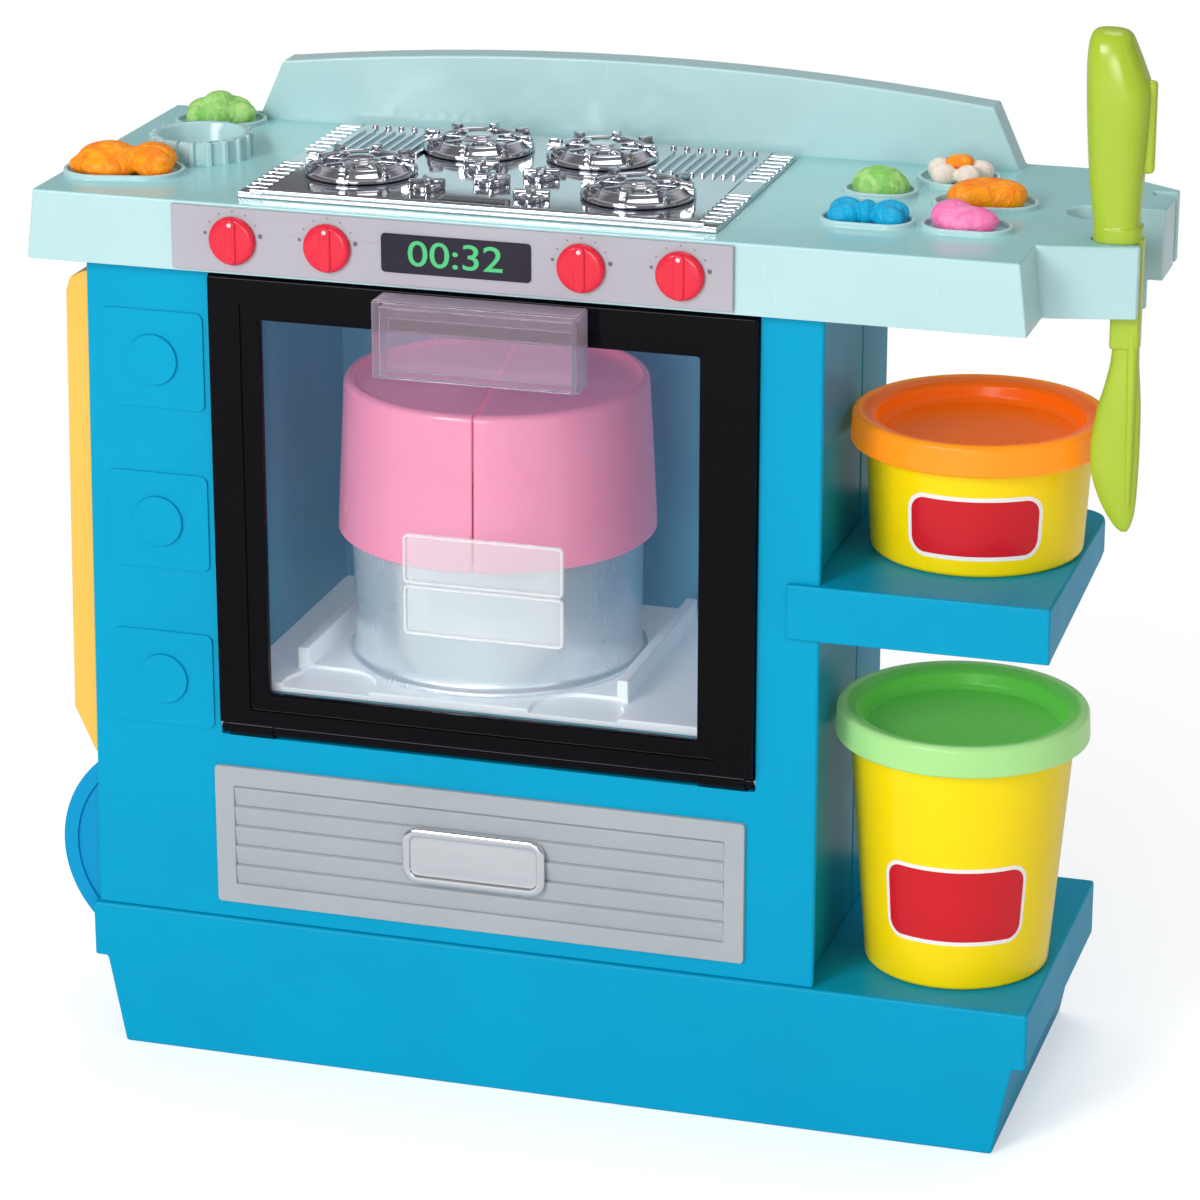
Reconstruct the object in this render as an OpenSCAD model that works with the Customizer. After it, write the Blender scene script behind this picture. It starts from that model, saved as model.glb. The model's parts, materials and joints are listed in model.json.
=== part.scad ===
// Toy oven: a small play kitchen stove whose cake rises when the side wheel is turned.
// Millimetres. Origin on the floor under the middle of the base, +Z up, the front faces -Y.

/* [Base] */
// Width of the base across the front
base_w = 250; // [244:1:270]
// Depth of the base from front to back
base_d = 90; // [90:1:100]
// Height of the drawn-in foot
foot_h = 24; // [20:1:34]
// Height of the straight band above the foot
band_h = 15.2; // [12:0.1:22]
// Step from the band in to the foot at each end
foot_step = 3.5; // [1:0.1:6]
// Draw-in of the foot from its top down to the floor
foot_taper = 4.5; // [1:0.5:8]
// Wall thickness of the large moulded shells
wall = 2; // [1.6:0.1:2.4]
// Thickness of the cover that closes the base from below
cover_t = 3; // [2.6:0.1:4]

/* [Cabinet] */
// Width of the cabinet front at its top edge
cab_w = 190; // [186:1:200]
// Distance from the base's left end to the cabinet front's top left corner
cab_inset = 5; // [4.5:0.1:7]
// Height of the cabinet front that shows between base and worktop
front_h = 175; // [172:1:190]
// Set-back of the cabinet front behind the base's face
front_set = 1; // [0.5:0.1:2]
// Depth of the cabinet from its face to its rear wall
case_d = 80; // [78:1:84]
// Depth of the front casing, from the face to the seam with the rear casing
seam_d = 52; // [48:1:56]
// Widening of the left side from the top of the cabinet to its foot
draft = 3.3; // [2:0.1:4.5]
// Set-in of the right side wall behind the face plate's edge
side_recess = 2.6; // [1.5:0.1:3.5]
// Depth of the hump on the rear casing that makes room for the oven
hump_d = 11; // [11:0.5:14]
// Width of a raised square pad on the left stile
pad_w = 27; // [22:0.5:28]
// Height of a raised square pad
pad_h = 25.5; // [20:0.5:32]
// Distance between the middles of two pads
pad_pitch = 42.6; // [36:0.2:46]
// Relief of a pad over the face
pad_relief = 0.6; // [0.4:0.1:1.2]
// Radius of the round button on each pad
pad_button_r = 6.6; // [4:0.1:8]

/* [Door] */
// Width of the cabinet face left of the door
stile_w = 33; // [30:1:36]
// Width of the cabinet face right of the door
right_stile_w = 16; // [14:1:20]
// Height of the door's lower edge above the base
door_lift = 51.7; // [48:0.1:56]
// Thickness of the door frame
door_t = 4.6; // [4.2:0.1:5.4]
// Width of the frame's left bar
bar_left = 13.4; // [10:0.1:16]
// Width of the frame's right bar
bar_right = 14.5; // [10:0.1:16]
// Height of the frame's top bar
bar_top = 11.1; // [9:0.1:13]
// Height of the frame's bottom bar
bar_bottom = 12.2; // [10:0.1:14]
// Thickness of the clear pane
pane_t = 1.2; // [1:0.1:1.5]
// Radius of the hinge pins
pin_r = 1.2; // [1:0.05:1.5]
// Radial running clearance of the turning fits
run_fit = 0.05; // [0.03:0.01:0.08]
// Width of the clear handle
handle_w = 52.5; // [40:0.5:64]
// Height of the clear handle
handle_h = 19.4; // [14:0.2:24]
// Reach of the handle in front of the door
handle_reach = 9; // [6:0.5:14]

/* [Oven] */
// Wall thickness of the oven liner
liner_t = 1.5; // [1.2:0.1:2]
// Height of the liner's floor above the door's lower edge
sill_h = 11.6; // [10:0.1:14]
// Thickness of the floor tray
tray_t = 2.5; // [2:0.1:3.5]
// Radius of the cake pan at its mouth
pan_r = 37.9; // [34:0.1:38]
// Height of the cake pan
pan_h = 36; // [33:0.5:40]
// Radius of the cake at its lower edge
cake_r = 41.3; // [40.6:0.1:41.5]
// Height of the cake from its lower edge to its rim
cake_h = 40.5; // [36:0.5:46]
// Wall thickness of the cake's two half shells
cake_t = 1.5; // [1.2:0.1:1.6]
// Turn of the cake's seam about the upright axis, in degrees
cake_turn = 9; // [0:1:30]
// Distance from the middle of the door to the middle of the cake, to the left
cake_shift = 10.5; // [6:0.5:12]
// How far the cake sinks over the pan
rise = 24; // [16:1:25]
// Radius of the post that lifts the cake
post_r = 4; // [3:0.1:5]

/* [Lift drive] */
// Radius of the side wheel
wheel_r = 30.5; // [28:0.5:31]
// Thickness of the side wheel
wheel_t = 6; // [4:0.5:7]
// Distance the wheel shows outside the cabinet's top left edge
wheel_out = 14.5; // [12:0.5:16]
// Height of the wheel's axis above the base
wheel_up = 14.8; // [12:0.2:18]
// Radius of the wheel's shaft
shaft_r = 2; // [1.6:0.1:2.6]
// Number of teeth on the pinion
pinion_teeth = 16; // [14:1:18]
// Tooth module of pinion and rack
tooth_m = 1; // [0.9:0.05:1.1]

/* [Worktop] */
// Height of the worktop's apron
counter_h = 17.8; // [15:0.1:22]
// Overhang of the apron in front of the cabinet
counter_front = 4; // [3:0.5:6]
// Depth of the worktop from front to back
counter_d = 97; // [94:1:104]
// Overhang of the worktop left of the cabinet front
counter_left = 12; // [8:0.5:16]
// Overhang of the worktop right of the cabinet front
counter_right = 47.5; // [44:0.5:52]
// Flare of the apron's ends from top to bottom
counter_flare = 2.2; // [1:0.1:3]
// Reach of the tool holder past the worktop's right end
holder_w = 24; // [22:0.5:28]
// Thickness of the splashback
splash_t = 8.5; // [6:0.5:10]
// Height of the splashback at its ends
splash_h = 16; // [12:0.5:22]
// Rise of the splashback's arch over its ends
splash_arch = 5.6; // [3:0.1:9]
// Length of a middle-sized mould on the worktop
mould_l = 22; // [18:0.5:23]

/* [Hob] */
// Width of the chromed hob plate
hob_w = 122.5; // [116:0.5:128]
// Depth of the hob plate
hob_d = 77.5; // [74:0.5:80]
// Thickness of the hob plate
hob_t = 1.6; // [1.2:0.1:2.4]
// Radius of a burner's grate
burner_r = 14.5; // [12:0.1:15]

/* [Fascia] */
// Width of the silver fascia
fascia_w = 143.5; // [136:0.5:150]
// Thickness of the fascia
fascia_t = 1.2; // [0.8:0.1:1.6]
// Radius of a control knob
knob_r = 6.1; // [5:0.1:7]
// Height of a control knob over the fascia
knob_h = 2.4; // [1.8:0.1:4]
// Width of the display window
display_w = 38.2; // [30:0.2:44]
// Height of the display window
display_h = 9.7; // [7:0.1:11]

/* [Vent] */
// Width of the vent panel
vent_w = 141.6; // [120:0.2:146]
// Height of the vent panel
vent_h = 38.1; // [30:0.1:40]
// Thickness of the vent panel
vent_t = 1.2; // [0.8:0.1:2]
// Number of louvres
louvres = 5; // [4:1:7]
// Width of the plain plaque on the vent
plaque_w = 38; // [24:0.5:50]
// Height of the plaque
plaque_h = 15; // [10:0.5:20]

/* [Shelf] */
// Height of the upper shelf's top over the base
shelf_up = 107.3; // [104:0.1:120]
// Height of the shelf's front edge
shelf_h = 14.3; // [12:0.1:18]
// Reach of the shelf right of the cabinet front
shelf_w = 57.2; // [56:0.1:64]
// Width of the shelf's lap over the cabinet front
shelf_lap = 8.1; // [5:0.1:10]

/* [Tubs] */
// Radius of a tub's lid
lid_r = 32; // [30.5:0.1:32.4]
// Height of a tub's lid
lid_h = 7.9; // [7:0.1:9]
// Height of the small tub up to the lower edge of its lid
small_tub_h = 27.4; // [22:0.1:34]
// Height of the tall tub up to the lower edge of its lid
tall_tub_h = 60.8; // [50:0.2:68]
// Radius of the small tub at its foot
small_tub_r = 26.6; // [25:0.1:27]
// Radius of the tall tub at its foot
tall_tub_r = 23.4; // [22:0.1:26]
// Radius of both tubs under the lid
tub_mouth_r = 28.1; // [27.5:0.1:28.4]
// Share of a tub's height that the dough fills
tub_fill = 0.66; // [0.2:0.01:0.8]

/* [Tools] */
// Height of the spoon's handle over its collar
spoon_handle_h = 46.5; // [36:0.5:56]
// Length of the spoon under its collar
spoon_drop = 73; // [60:1:80]
// Radius of the spoon's handle where it is thickest
grip_r = 7.6; // [5.8:0.1:7.8]
// Thickness of the side board
board_t = 6.5; // [4:0.5:8]
// Width of the side board from front to back
board_w = 48; // [36:1:52]

/* [Hidden] */

$fn = 48;
eps = 0.01;
// Gap between parts that lift off or swing past each other
seat_gap = 0.3;

// Base
base_h = foot_h + band_h;
base_x0 = -base_w / 2;
base_x1 = base_w / 2;
base_y0 = -base_d / 2;
base_y1 = base_d / 2;
foot_x = base_w / 2 - foot_step;
screw_r = 1.2;
screw_head_r = 2.4;
screw_head_h = 1.4;
screw_reach = 8;
// Depth of the screw heads under the cover's face, and free length at the end of a pilot hole
screw_sink = 0.4;
screw_slack = 0.6;
screw_post_r = 3.2;
base_post_in = 14;
base_post_x = foot_x - foot_taper - base_post_in;
base_post_y = [base_y0 + base_post_in + 5, base_y1 - base_post_in + 2];

// Cabinet
face_y = base_y0 + front_set;
face_in_y = face_y + wall;
seam_y = face_y + seam_d;
rear_y = face_y + case_d;
rear_in_y = rear_y - wall;
cab_x0 = base_x0 + cab_inset;
cab_x1 = cab_x0 + cab_w;
side_x = cab_x1 - side_recess;
apron_z = base_h + front_h;
counter_z = apron_z + counter_h;
plate_z = counter_z - wall;
function left_x(z) = cab_x0 - draft * (apron_z - z) / front_h;

// Door opening and door
door_gap = 0.4;
door_top_gap = 1;
door_x0 = cab_x0 + stile_w;
door_x1 = cab_x1 - right_stile_w;
door_z0 = base_h + door_lift;
door_z1 = apron_z - door_top_gap;
door_mid_x = (door_x0 + door_x1) / 2;
door_back_y = face_y + 2.4;
door_front_y = door_back_y - door_t;
win_x0 = door_x0 + bar_left;
win_x1 = door_x1 - bar_right;
win_z0 = door_z0 + bar_bottom;
win_z1 = door_z1 - bar_top;
pin_y = door_back_y - 1.1;
// Height of the hinge axis over the door's lower edge, and the radius of its nose
pin_up = 2.1;
pin_z = door_z0 + pin_up;
lug_r = pin_r + 1.4;
lug_w = 12;
lug_in = 2;
boss_w = 5.4;
boss_h = 7;

// Oven liner and tray
liner_x0 = door_x0 + 2.5;
liner_x1 = door_x1 - 2.5;
liner_y0 = door_back_y + 1.8;
liner_y1 = rear_y + hump_d - wall - liner_t;
floor_z = door_z0 + sill_h;
roof_z = door_z1 - 7.2;
flange_w = 4;
flange_t = 1.2;
tray_z = floor_z + tray_t;
cake_x = door_mid_x - cake_shift;
cake_y = (liner_y0 + liner_y1) / 2 - 0.4;
pan_t = 1.2;
pan_lip = 1.9;
pan_foot_r = pan_r - 0.7;
pan_hole_r = post_r + 1.2;
// Cover of the cake's skirt over the pan's mouth
skirt_lap = 2;
cake_z = tray_z + pan_h - skirt_lap;
cake_top_z = cake_z + cake_h;
cake_taper = 2;
cake_rim_w = 2.3;
cake_rim_h = 1.5;
cake_deck_z = cake_top_z - cake_rim_h - cake_t;
seam_gap = 0.4;
rail_h = 6;
rail_w = 3;
rail_gap = 1.6;
rail_x = cake_r + rail_gap;

// Lift drive
wheel_x = cab_x0 - wheel_out + wheel_r;
wheel_z = base_h + wheel_up;
wheel_y0 = face_in_y + 1.4;
wheel_y1 = wheel_y0 + wheel_t;
wheel_clear = 1.2;
shaft_boss_h = 1;
shaft_sink = 1;
gear_t = 6;
gear_y0 = wheel_y1 + 1.1;
gear_y1 = gear_y0 + gear_t;
bracket_t = 3;
bracket_y0 = gear_y1 + 1.2;
bracket_w = 13;
tooth_pitch = PI * tooth_m;
pitch_r = pinion_teeth * tooth_m / 2;
tooth_w = 0.4 * tooth_pitch;
tooth_lean = 0.36;
rack_x = wheel_x + pitch_r;
rack_back_t = 4;
rack_z0 = wheel_z - 1.9 * tooth_pitch;
rack_teeth = ceil((rise + 3.2 * tooth_pitch) / tooth_pitch);
rack_z1 = rack_z0 + (rack_teeth + 0.4) * tooth_pitch;
arm_h = 6;
arm_w = 6;
arm_z = rack_z1 - arm_h - 1;
socket_r = post_r + 3;
socket_floor = 2;
bush_r = post_r + 2.5;
bush_flange_r = post_r + 4.5;
bush_flange_t = 3;
platform_r = 30;
platform_t = 2;

// Worktop
apron_y = face_y - counter_front;
counter_y1 = apron_y + counter_d;
counter_x0 = cab_x0 - counter_left;
counter_x1 = cab_x1 + counter_right;
holder_x1 = counter_x1 + holder_w;
holder_y = apron_y + 18;
spoon_slot_y = holder_y + 11.5;
spoon_slot_w = 8;
spoon_slot_x = counter_x1 + 15.5;
tool_slot_y = spoon_slot_y + 23.5;
tool_slot_w = 13;
tool_slot_x = counter_x1 + 7.5;
splash_y0 = counter_y1 - splash_t;
splash_in = 34;
splash_left = 26.5;
splash_right = 18;
splash_slope = 7.2;
hob_x0 = cab_x0 + 40;
hob_x1 = hob_x0 + hob_w;
hob_y0 = apron_y + 6.4;
hob_z = counter_z + hob_t;
rim_h = 1.6;
rim_w = 1.1;
cup_h = 6;
cup_flute_w = 1.4;

dial_r = 3.6;
dial_bar = 9.2;
comb_n = 7;
comb_w = 6.5;
comb_pitch = 3.9;
comb_edge = 5;
ridge_n = 9;
ridge_l = 22;
ridge_w = 1.1;
ridge_pitch = 2.7;
ridge_in = 8;
button_n = 7;
button_pitch = 3.6;
button_in = 10;
hob_badge_w = 18;

// Fascia
fascia_x0 = cab_x0 + 25.2;
fascia_z0 = apron_z + 0.8;
fascia_z1 = counter_z - 0.7;
fascia_y = apron_y - fascia_t;
knob_z = (fascia_z0 + fascia_z1) / 2;
knob_edge = 16.3;
knob_pitch = 24.7;
knob_edge_right = 13;
spindle_r = 1.8;
spindle_l = 6;
display_x0 = fascia_x0 + 0.383 * fascia_w;
display_t = 0.6;

// Vent
vent_x0 = cab_x0 + 30.5;
vent_z0 = base_h + 4.7;
vent_border = 5.4;
louvre_depth = 0.7;

// Shelf
shelf_z = base_h + shelf_up;
shelf_x1 = cab_x1 + shelf_w;
shelf_y0 = face_y - 1.5;
shelf_y1 = rear_y - 1.2;
shelf_rise = 5.8;
shelf_round = 9;
tab_w = 10;
tab_h = 2;
tab_fit = 0.15;

// Tubs
tub_t = 1.2;
tub_floor = 1.5;
lid_t = 1.3;
tub_x = side_x + lid_r + 0.5;
small_tub_y = face_y + 42;
tall_tub_y = face_y + 31.5;
small_tub_z = shelf_z;
tall_tub_z = base_h;

// Spoon and board
spoon_x = counter_x1 + 20.3;
spoon_y = spoon_slot_y;
spoon_shaft_w = 7.2;
spoon_shaft_t = 4.6;
collar_r = 5.8;
collar_h = 4.4;
// Distance of the handle's axis to the left of the shaft's
collar_in = 3.2;
shaft_l = 27;
bowl_l = 46;
bowl_r = 6.6;
board_y0 = face_y + 2;
board_z0 = wheel_z + wheel_r - 3.8;
board_z1 = apron_z - 3.8;
board_cut = 5.7;
board_bevel = 12;
peg_w = 8;
peg_h = 3;
peg_z = [board_z0 + 30, board_z1 - 22];
peg_y = board_y0 + 20;

// Box between two opposite corners
module span(x, y, z) {
    translate([x[0], y[0], z[0]])
        cube([x[1] - x[0], y[1] - y[0], z[1] - z[0]]);
}

// Outline in X and Z drawn out along Y
module along_y(y0, y1) {
    translate([0, y1, 0])
        rotate([90, 0, 0])
            linear_extrude(y1 - y0)
                children();
}

// Outline in Y and Z drawn out along X
module along_x(x0, x1) {
    translate([x0, 0, 0])
        rotate([90, 0, 90])
            linear_extrude(x1 - x0)
                children();
}

// Round bar along Y
module rod_y(x, z, r, y0, y1) {
    translate([x, y0, z])
        rotate([-90, 0, 0])
            cylinder(r = r, h = y1 - y0);
}

// Round bar along X
module rod_x(y, z, r, x0, x1) {
    translate([x0, y, z])
        rotate([0, 90, 0])
            cylinder(r = r, h = x1 - x0);
}

// Rectangle with round corners, centred
module round_rect(w, h, r) {
    square([w - 2 * r, h], center = true);
    square([w, h - 2 * r], center = true);
    for (sx = [-1, 1], sy = [-1, 1])
        translate([sx * (w / 2 - r), sy * (h / 2 - r)])
            circle(r);
}

// Long hole or bar with round ends, centred, length over all l and width w
module stadium(l, w) {
    if (l > w)
        square([l - w, w], center = true);
    for (s = [-1, 1])
        translate([s * (l - w) / 2, 0])
            circle(w / 2);
}

// Room that the side wheel needs in the walls it passes
module wheel_room() {
    rod_y(wheel_x, wheel_z, wheel_r + wheel_clear, wheel_y0 - 0.6, wheel_y1 + 0.6);
}

// The base

module base_outline(inset) {
    polygon([
        [base_x0 + inset, foot_h],
        [base_x0 + inset, base_h - inset],
        [base_x1 - inset, base_h - inset],
        [base_x1 - inset, foot_h],
        [foot_x - inset, foot_h],
        [foot_x - foot_taper - inset, -eps * (inset > 0 ? 1 : 0)],
        [-foot_x + foot_taper + inset, -eps * (inset > 0 ? 1 : 0)],
        [-foot_x + inset, foot_h]]);
}

module base_shell() {
    color("deepskyblue") difference() {
        union() {
            difference() {
                along_y(base_y0, base_y1) base_outline(0);
                along_y(base_y0 + wall, base_y1 - wall) base_outline(wall);
            }
            for (sx = [-1, 1], y = base_post_y)
                translate([sx * base_post_x, y, cover_t])
                    cylinder(r = screw_post_r, h = base_h - wall - cover_t);
        }
        wheel_room();
        span([rack_x - 3, rack_x + rack_back_t + 3], [gear_y0 - 1, gear_y1 + 1],
            [base_h - wall - 1, base_h + 1]);
        for (sx = [-1, 1], y = base_post_y)
            translate([sx * base_post_x, y, 0])
                cylinder(r = screw_r, h = cover_t + screw_reach);
    }
}

module base_cover() {
    cover_x = foot_x - foot_taper - wall - 0.1;
    color("deepskyblue") difference() {
        span([-cover_x, cover_x], [base_y0 + wall + 0.1, base_y1 - wall - 0.1], [0, cover_t]);
        for (sx = [-1, 1], y = base_post_y)
            translate([sx * base_post_x, y, 0]) {
                translate([0, 0, -eps]) cylinder(r = screw_r + 0.2, h = cover_t + 1);
                translate([0, 0, -eps]) cylinder(r = screw_head_r + 0.3, h = screw_sink + screw_head_h + eps);
            }
    }
}

module base_screws() {
    color("gray")
        for (sx = [-1, 1], y = base_post_y)
            translate([sx * base_post_x, y, screw_sink]) {
                cylinder(r = screw_head_r, h = screw_head_h);
                cylinder(r = screw_r, h = cover_t + screw_reach - screw_sink - screw_slack);
            }
}

// The cabinet

module face_outline() {
    polygon([[left_x(base_h), base_h], [left_x(plate_z), plate_z], [cab_x1, plate_z], [cab_x1, base_h]]);
}

module left_wall_outline() {
    polygon([[left_x(base_h), base_h], [left_x(plate_z), plate_z],
        [left_x(plate_z) + wall, plate_z], [left_x(base_h) + wall, base_h]]);
}

case_post_left_x = cab_x0 + 9;
case_post_right_x = (door_x1 + side_x - wall) / 2 + 1.6;
case_posts = [
    [case_post_left_x, apron_z - 12],
    [case_post_left_x, wheel_z + wheel_r + wheel_clear + 14],
    [case_post_right_x, apron_z - 12],
    [case_post_right_x, base_h + 12]];

module shelf_tab(x0, x1, grow) {
    for (y = [seam_y - 34, seam_y - 14])
        span([x0, x1], [y - grow, y + tab_w + grow],
            [shelf_z - wall - tab_h - grow, shelf_z - wall + grow]);
}

module board_pegs(x0, x1, grow) {
    for (z = peg_z)
        span([x0, x1], [peg_y - grow, peg_y + peg_w + grow], [z - grow, z + peg_h + grow]);
}

module front_casing() {
    pad_x = cab_x0 + stile_w / 2 + 0.8;
    pad_top_z = apron_z - 24.7;
    color("deepskyblue") difference() {
        union() {
            along_y(face_y, face_in_y) face_outline();
            along_y(face_in_y - eps, seam_y) left_wall_outline();
            span([side_x - wall, side_x], [face_in_y - eps, seam_y], [base_h, plate_z]);
            for (i = [0:2])
                translate([pad_x, face_y, pad_top_z - i * pad_pitch])
                    rotate([90, 0, 0]) {
                        linear_extrude(pad_relief) round_rect(pad_w, pad_h, 2);
                        cylinder(r = pad_button_r, h = pad_relief + 1);
                    }
            for (p = case_posts)
                rod_y(p[0], p[1], screw_post_r, face_in_y - eps, rear_in_y);
            rod_y(wheel_x, wheel_z, shaft_r + 2.5, face_in_y - eps, face_in_y + shaft_boss_h);
            for (x = [door_x0 - door_gap - boss_w, door_x1 + door_gap])
                span([x, x + boss_w], [face_y + eps, liner_y0 - seat_gap],
                    [pin_z - boss_h / 2, pin_z + boss_h / 2]);
        }
        span([door_x0 - door_gap, door_x1 + door_gap], [face_y - 5, liner_y0 + eps],
            [door_z0 - door_gap, door_z1 + door_gap]);
        for (x = [door_x0 + lug_in, door_x1 - lug_in - lug_w])
            rod_x(pin_y, pin_z, lug_r + seat_gap, x - seat_gap, x + lug_w + seat_gap);
        rod_x(pin_y, pin_z, pin_r, door_x0 - boss_w + 0.6, door_x1 + boss_w - 0.6);
        wheel_room();
        rod_y(wheel_x, wheel_z, shaft_r + run_fit, face_in_y - shaft_sink, face_in_y + shaft_boss_h + 1);
        for (p = case_posts)
            rod_y(p[0], p[1], screw_r, rear_in_y - screw_reach, rear_in_y + 1);
        shelf_tab(side_x - wall - 1, side_x + 1, tab_fit);
        board_pegs(left_x(base_h) - 1, cab_x0 + wall + 1, 0.2);
    }
}

module rear_casing() {
    hump_x0 = liner_x0 - liner_t - 4;
    hump_x1 = liner_x1 + liner_t + 2;
    hump_z0 = floor_z - liner_t - 4;
    hump_z1 = roof_z + liner_t + 3;
    hump_y1 = rear_y + hump_d;
    color("deepskyblue") difference() {
        union() {
            along_y(seam_y, rear_y) left_wall_outline();
            span([side_x - wall, side_x], [seam_y, rear_y], [base_h, plate_z]);
            along_y(rear_in_y, rear_y)
                polygon([[left_x(base_h), base_h], [left_x(plate_z), plate_z],
                    [side_x, plate_z], [side_x, base_h]]);
            span([hump_x0 - wall, hump_x1 + wall], [rear_y - eps, hump_y1],
                [hump_z0 - wall, hump_z1 + wall]);
        }
        span([hump_x0, hump_x1], [rear_in_y - 1, hump_y1 - wall], [hump_z0, hump_z1]);
        for (p = case_posts)
            rod_y(p[0], p[1], screw_r + 0.2, rear_in_y - 1, rear_y + 1);
    }
}

module case_screws() {
    color("gray")
        for (p = case_posts) {
            rod_y(p[0], p[1], screw_head_r, rear_y, rear_y + screw_head_h);
            rod_y(p[0], p[1], screw_r, rear_in_y - screw_reach + screw_slack, rear_y + eps);
        }
}

// The upper shelf

module shelf_plan(x0, x1, y1, r) {
    translate([x0, face_in_y]) square([x1 - x0, y1 - face_in_y - r]);
    translate([x0, face_in_y]) square([x1 - x0 - r, y1 - face_in_y]);
    translate([x1 - r, y1 - r]) circle(r);
}

module upper_shelf() {
    z0 = shelf_z - shelf_h;
    color("deepskyblue") {
        difference() {
            intersection() {
                translate([0, 0, z0]) linear_extrude(shelf_h)
                    shelf_plan(side_x, shelf_x1, shelf_y1, shelf_round);
                along_x(side_x - 1, shelf_x1 + 1)
                    polygon([[face_y - 1, z0], [shelf_y1, z0 + shelf_rise], [shelf_y1, shelf_z],
                        [face_y - 1, shelf_z]]);
            }
            translate([0, 0, z0 - 1]) linear_extrude(shelf_h + 1 - wall)
                shelf_plan(side_x + wall, shelf_x1 - wall, shelf_y1 - wall, shelf_round - wall);
        }
        span([cab_x1 - shelf_lap, shelf_x1], [shelf_y0, face_y], [z0, shelf_z]);
        span([cab_x1, shelf_x1], [face_y - eps, face_in_y + eps], [z0, shelf_z]);
        shelf_tab(side_x - wall - 1.5, side_x + eps, 0);
    }
}

// The worktop

module counter_outline(inset) {
    lean = inset > 0 ? eps : 0;
    polygon([
        [counter_x0 - counter_flare + inset, apron_z - lean],
        [counter_x0 + inset, counter_z - inset],
        [counter_x1 - inset, counter_z - inset],
        [counter_x1 + counter_flare - inset, apron_z - lean]]);
}

module holder_plan() {
    difference() {
        polygon([
            [counter_x1 - 1, holder_y],
            [counter_x1 + 3, holder_y],
            [holder_x1, holder_y + 5],
            [holder_x1, counter_y1 - 16],
            [counter_x1 - 1, counter_y1]]);
        translate([spoon_slot_x, spoon_slot_y]) circle(spoon_slot_w / 2);
        translate([spoon_slot_x, spoon_slot_y - spoon_slot_w / 2]) square([holder_w, spoon_slot_w]);
        translate([tool_slot_x, tool_slot_y]) circle(tool_slot_w / 2);
        translate([tool_slot_x, tool_slot_y - tool_slot_w / 2]) square([holder_w, tool_slot_w]);
        translate([holder_x1 - 4, spoon_slot_y]) square([holder_w, tool_slot_y - spoon_slot_y]);
        translate([holder_x1 - 6, tool_slot_y + tool_slot_w / 2 + 15]) square([holder_w, 3.5]);
    }
}

// A mould left or right of the hob. Its middle is given as shares of the free width and of the
// depth, and its length and width as multiples of mould_l
function left_mould(x, y, l, w, turn) =
    [counter_x0 + x * (hob_x0 - counter_x0), apron_y + y * counter_d, l * mould_l, w * mould_l, turn];
function right_mould(x, y, l, w, turn) =
    [hob_x1 + x * (counter_x1 - hob_x1), apron_y + y * counter_d, l * mould_l, w * mould_l, turn];

moulds = [
    left_mould(0.3, 0.227, 1.3, 0.76, 12),
    left_mould(0.52, 0.474, 1.09, 1.09, 0),
    left_mould(0.365, 0.825, 1, 0.64, 20),
    right_mould(0.38, 0.577, 0.76, 0.54, 0),
    right_mould(0.427, 0.278, 0.98, 0.52, 0),
    right_mould(0.753, 0.284, 0.93, 0.58, 0),
    right_mould(0.747, 0.526, 1.1, 0.62, 12),
    right_mould(0.593, 0.763, 0.86, 0.86, 0)];

// The second mould is the cup, which stands higher than the others
module mould_rims() {
    for (i = [0:len(moulds) - 1])
        if (i != 1)
            translate([moulds[i][0], moulds[i][1], counter_z - eps])
                rotate([0, 0, moulds[i][4]])
                    linear_extrude(rim_h)
                        difference() {
                            stadium(moulds[i][2] + 2 * rim_w, moulds[i][3] + 2 * rim_w);
                            stadium(moulds[i][2], moulds[i][3]);
                        }
}

module cup_mould() {
    cup_r = moulds[1][2] / 2;
    translate([moulds[1][0], moulds[1][1], counter_z - eps])
        difference() {
            union() {
                cylinder(r = cup_r + 0.4, h = cup_h);
                for (a = [0:20:340])
                    rotate([0, 0, a])
                        translate([cup_r - 0.6, -cup_flute_w / 2, 0])
                            cube([rim_w + 0.8, cup_flute_w, cup_h]);
            }
            translate([0, 0, 1]) cylinder(r1 = cup_r - 2.5, r2 = cup_r - 0.6, h = cup_h);
        }
}

module splash_outline(inset) {
    x0 = counter_x0 + splash_left + inset;
    x1 = counter_x1 - splash_right - inset;
    top = counter_z + splash_h - inset;
    // The arch starts a little inside the ends of the straight top
    half = (x1 - x0) / 2 - splash_slope - 1.5;
    arc_r = (half * half + splash_arch * splash_arch) / (2 * splash_arch);
    low = counter_z - wall - (inset > 0 ? 1 : 0);
    polygon([[x0, low], [x0, counter_z], [x0 + splash_slope, top], [x1 - splash_slope, top],
        [x1, counter_z], [x1, low]]);
    intersection() {
        translate([(x0 + x1) / 2 - half - 1, top - 2]) square([2 * half + 2, splash_arch + 4]);
        translate([(x0 + x1) / 2, top + splash_arch - arc_r]) circle(arc_r, $fn = 720);
    }
}

module worktop() {
    color("paleturquoise") {
        difference() {
            union() {
                along_y(apron_y, counter_y1) counter_outline(0);
                along_y(splash_y0, counter_y1) splash_outline(0);
                translate([0, 0, apron_z]) linear_extrude(counter_h) holder_plan();
            }
            along_y(apron_y + wall, counter_y1 - wall) counter_outline(wall);
            along_y(splash_y0 + wall, counter_y1 - wall) splash_outline(wall);
            for (x = knob_x)
                rod_y(x, knob_z, spindle_r + run_fit, apron_y - 1, apron_y + wall + 1);
        }
        span([counter_x1 + 4, counter_x1 + 20], [tool_slot_y + tool_slot_w / 2, tool_slot_y + tool_slot_w / 2 + wall],
            [apron_z - 7.5, apron_z + 1]);
        mould_rims();
        cup_mould();
    }
}

// The hob

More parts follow.
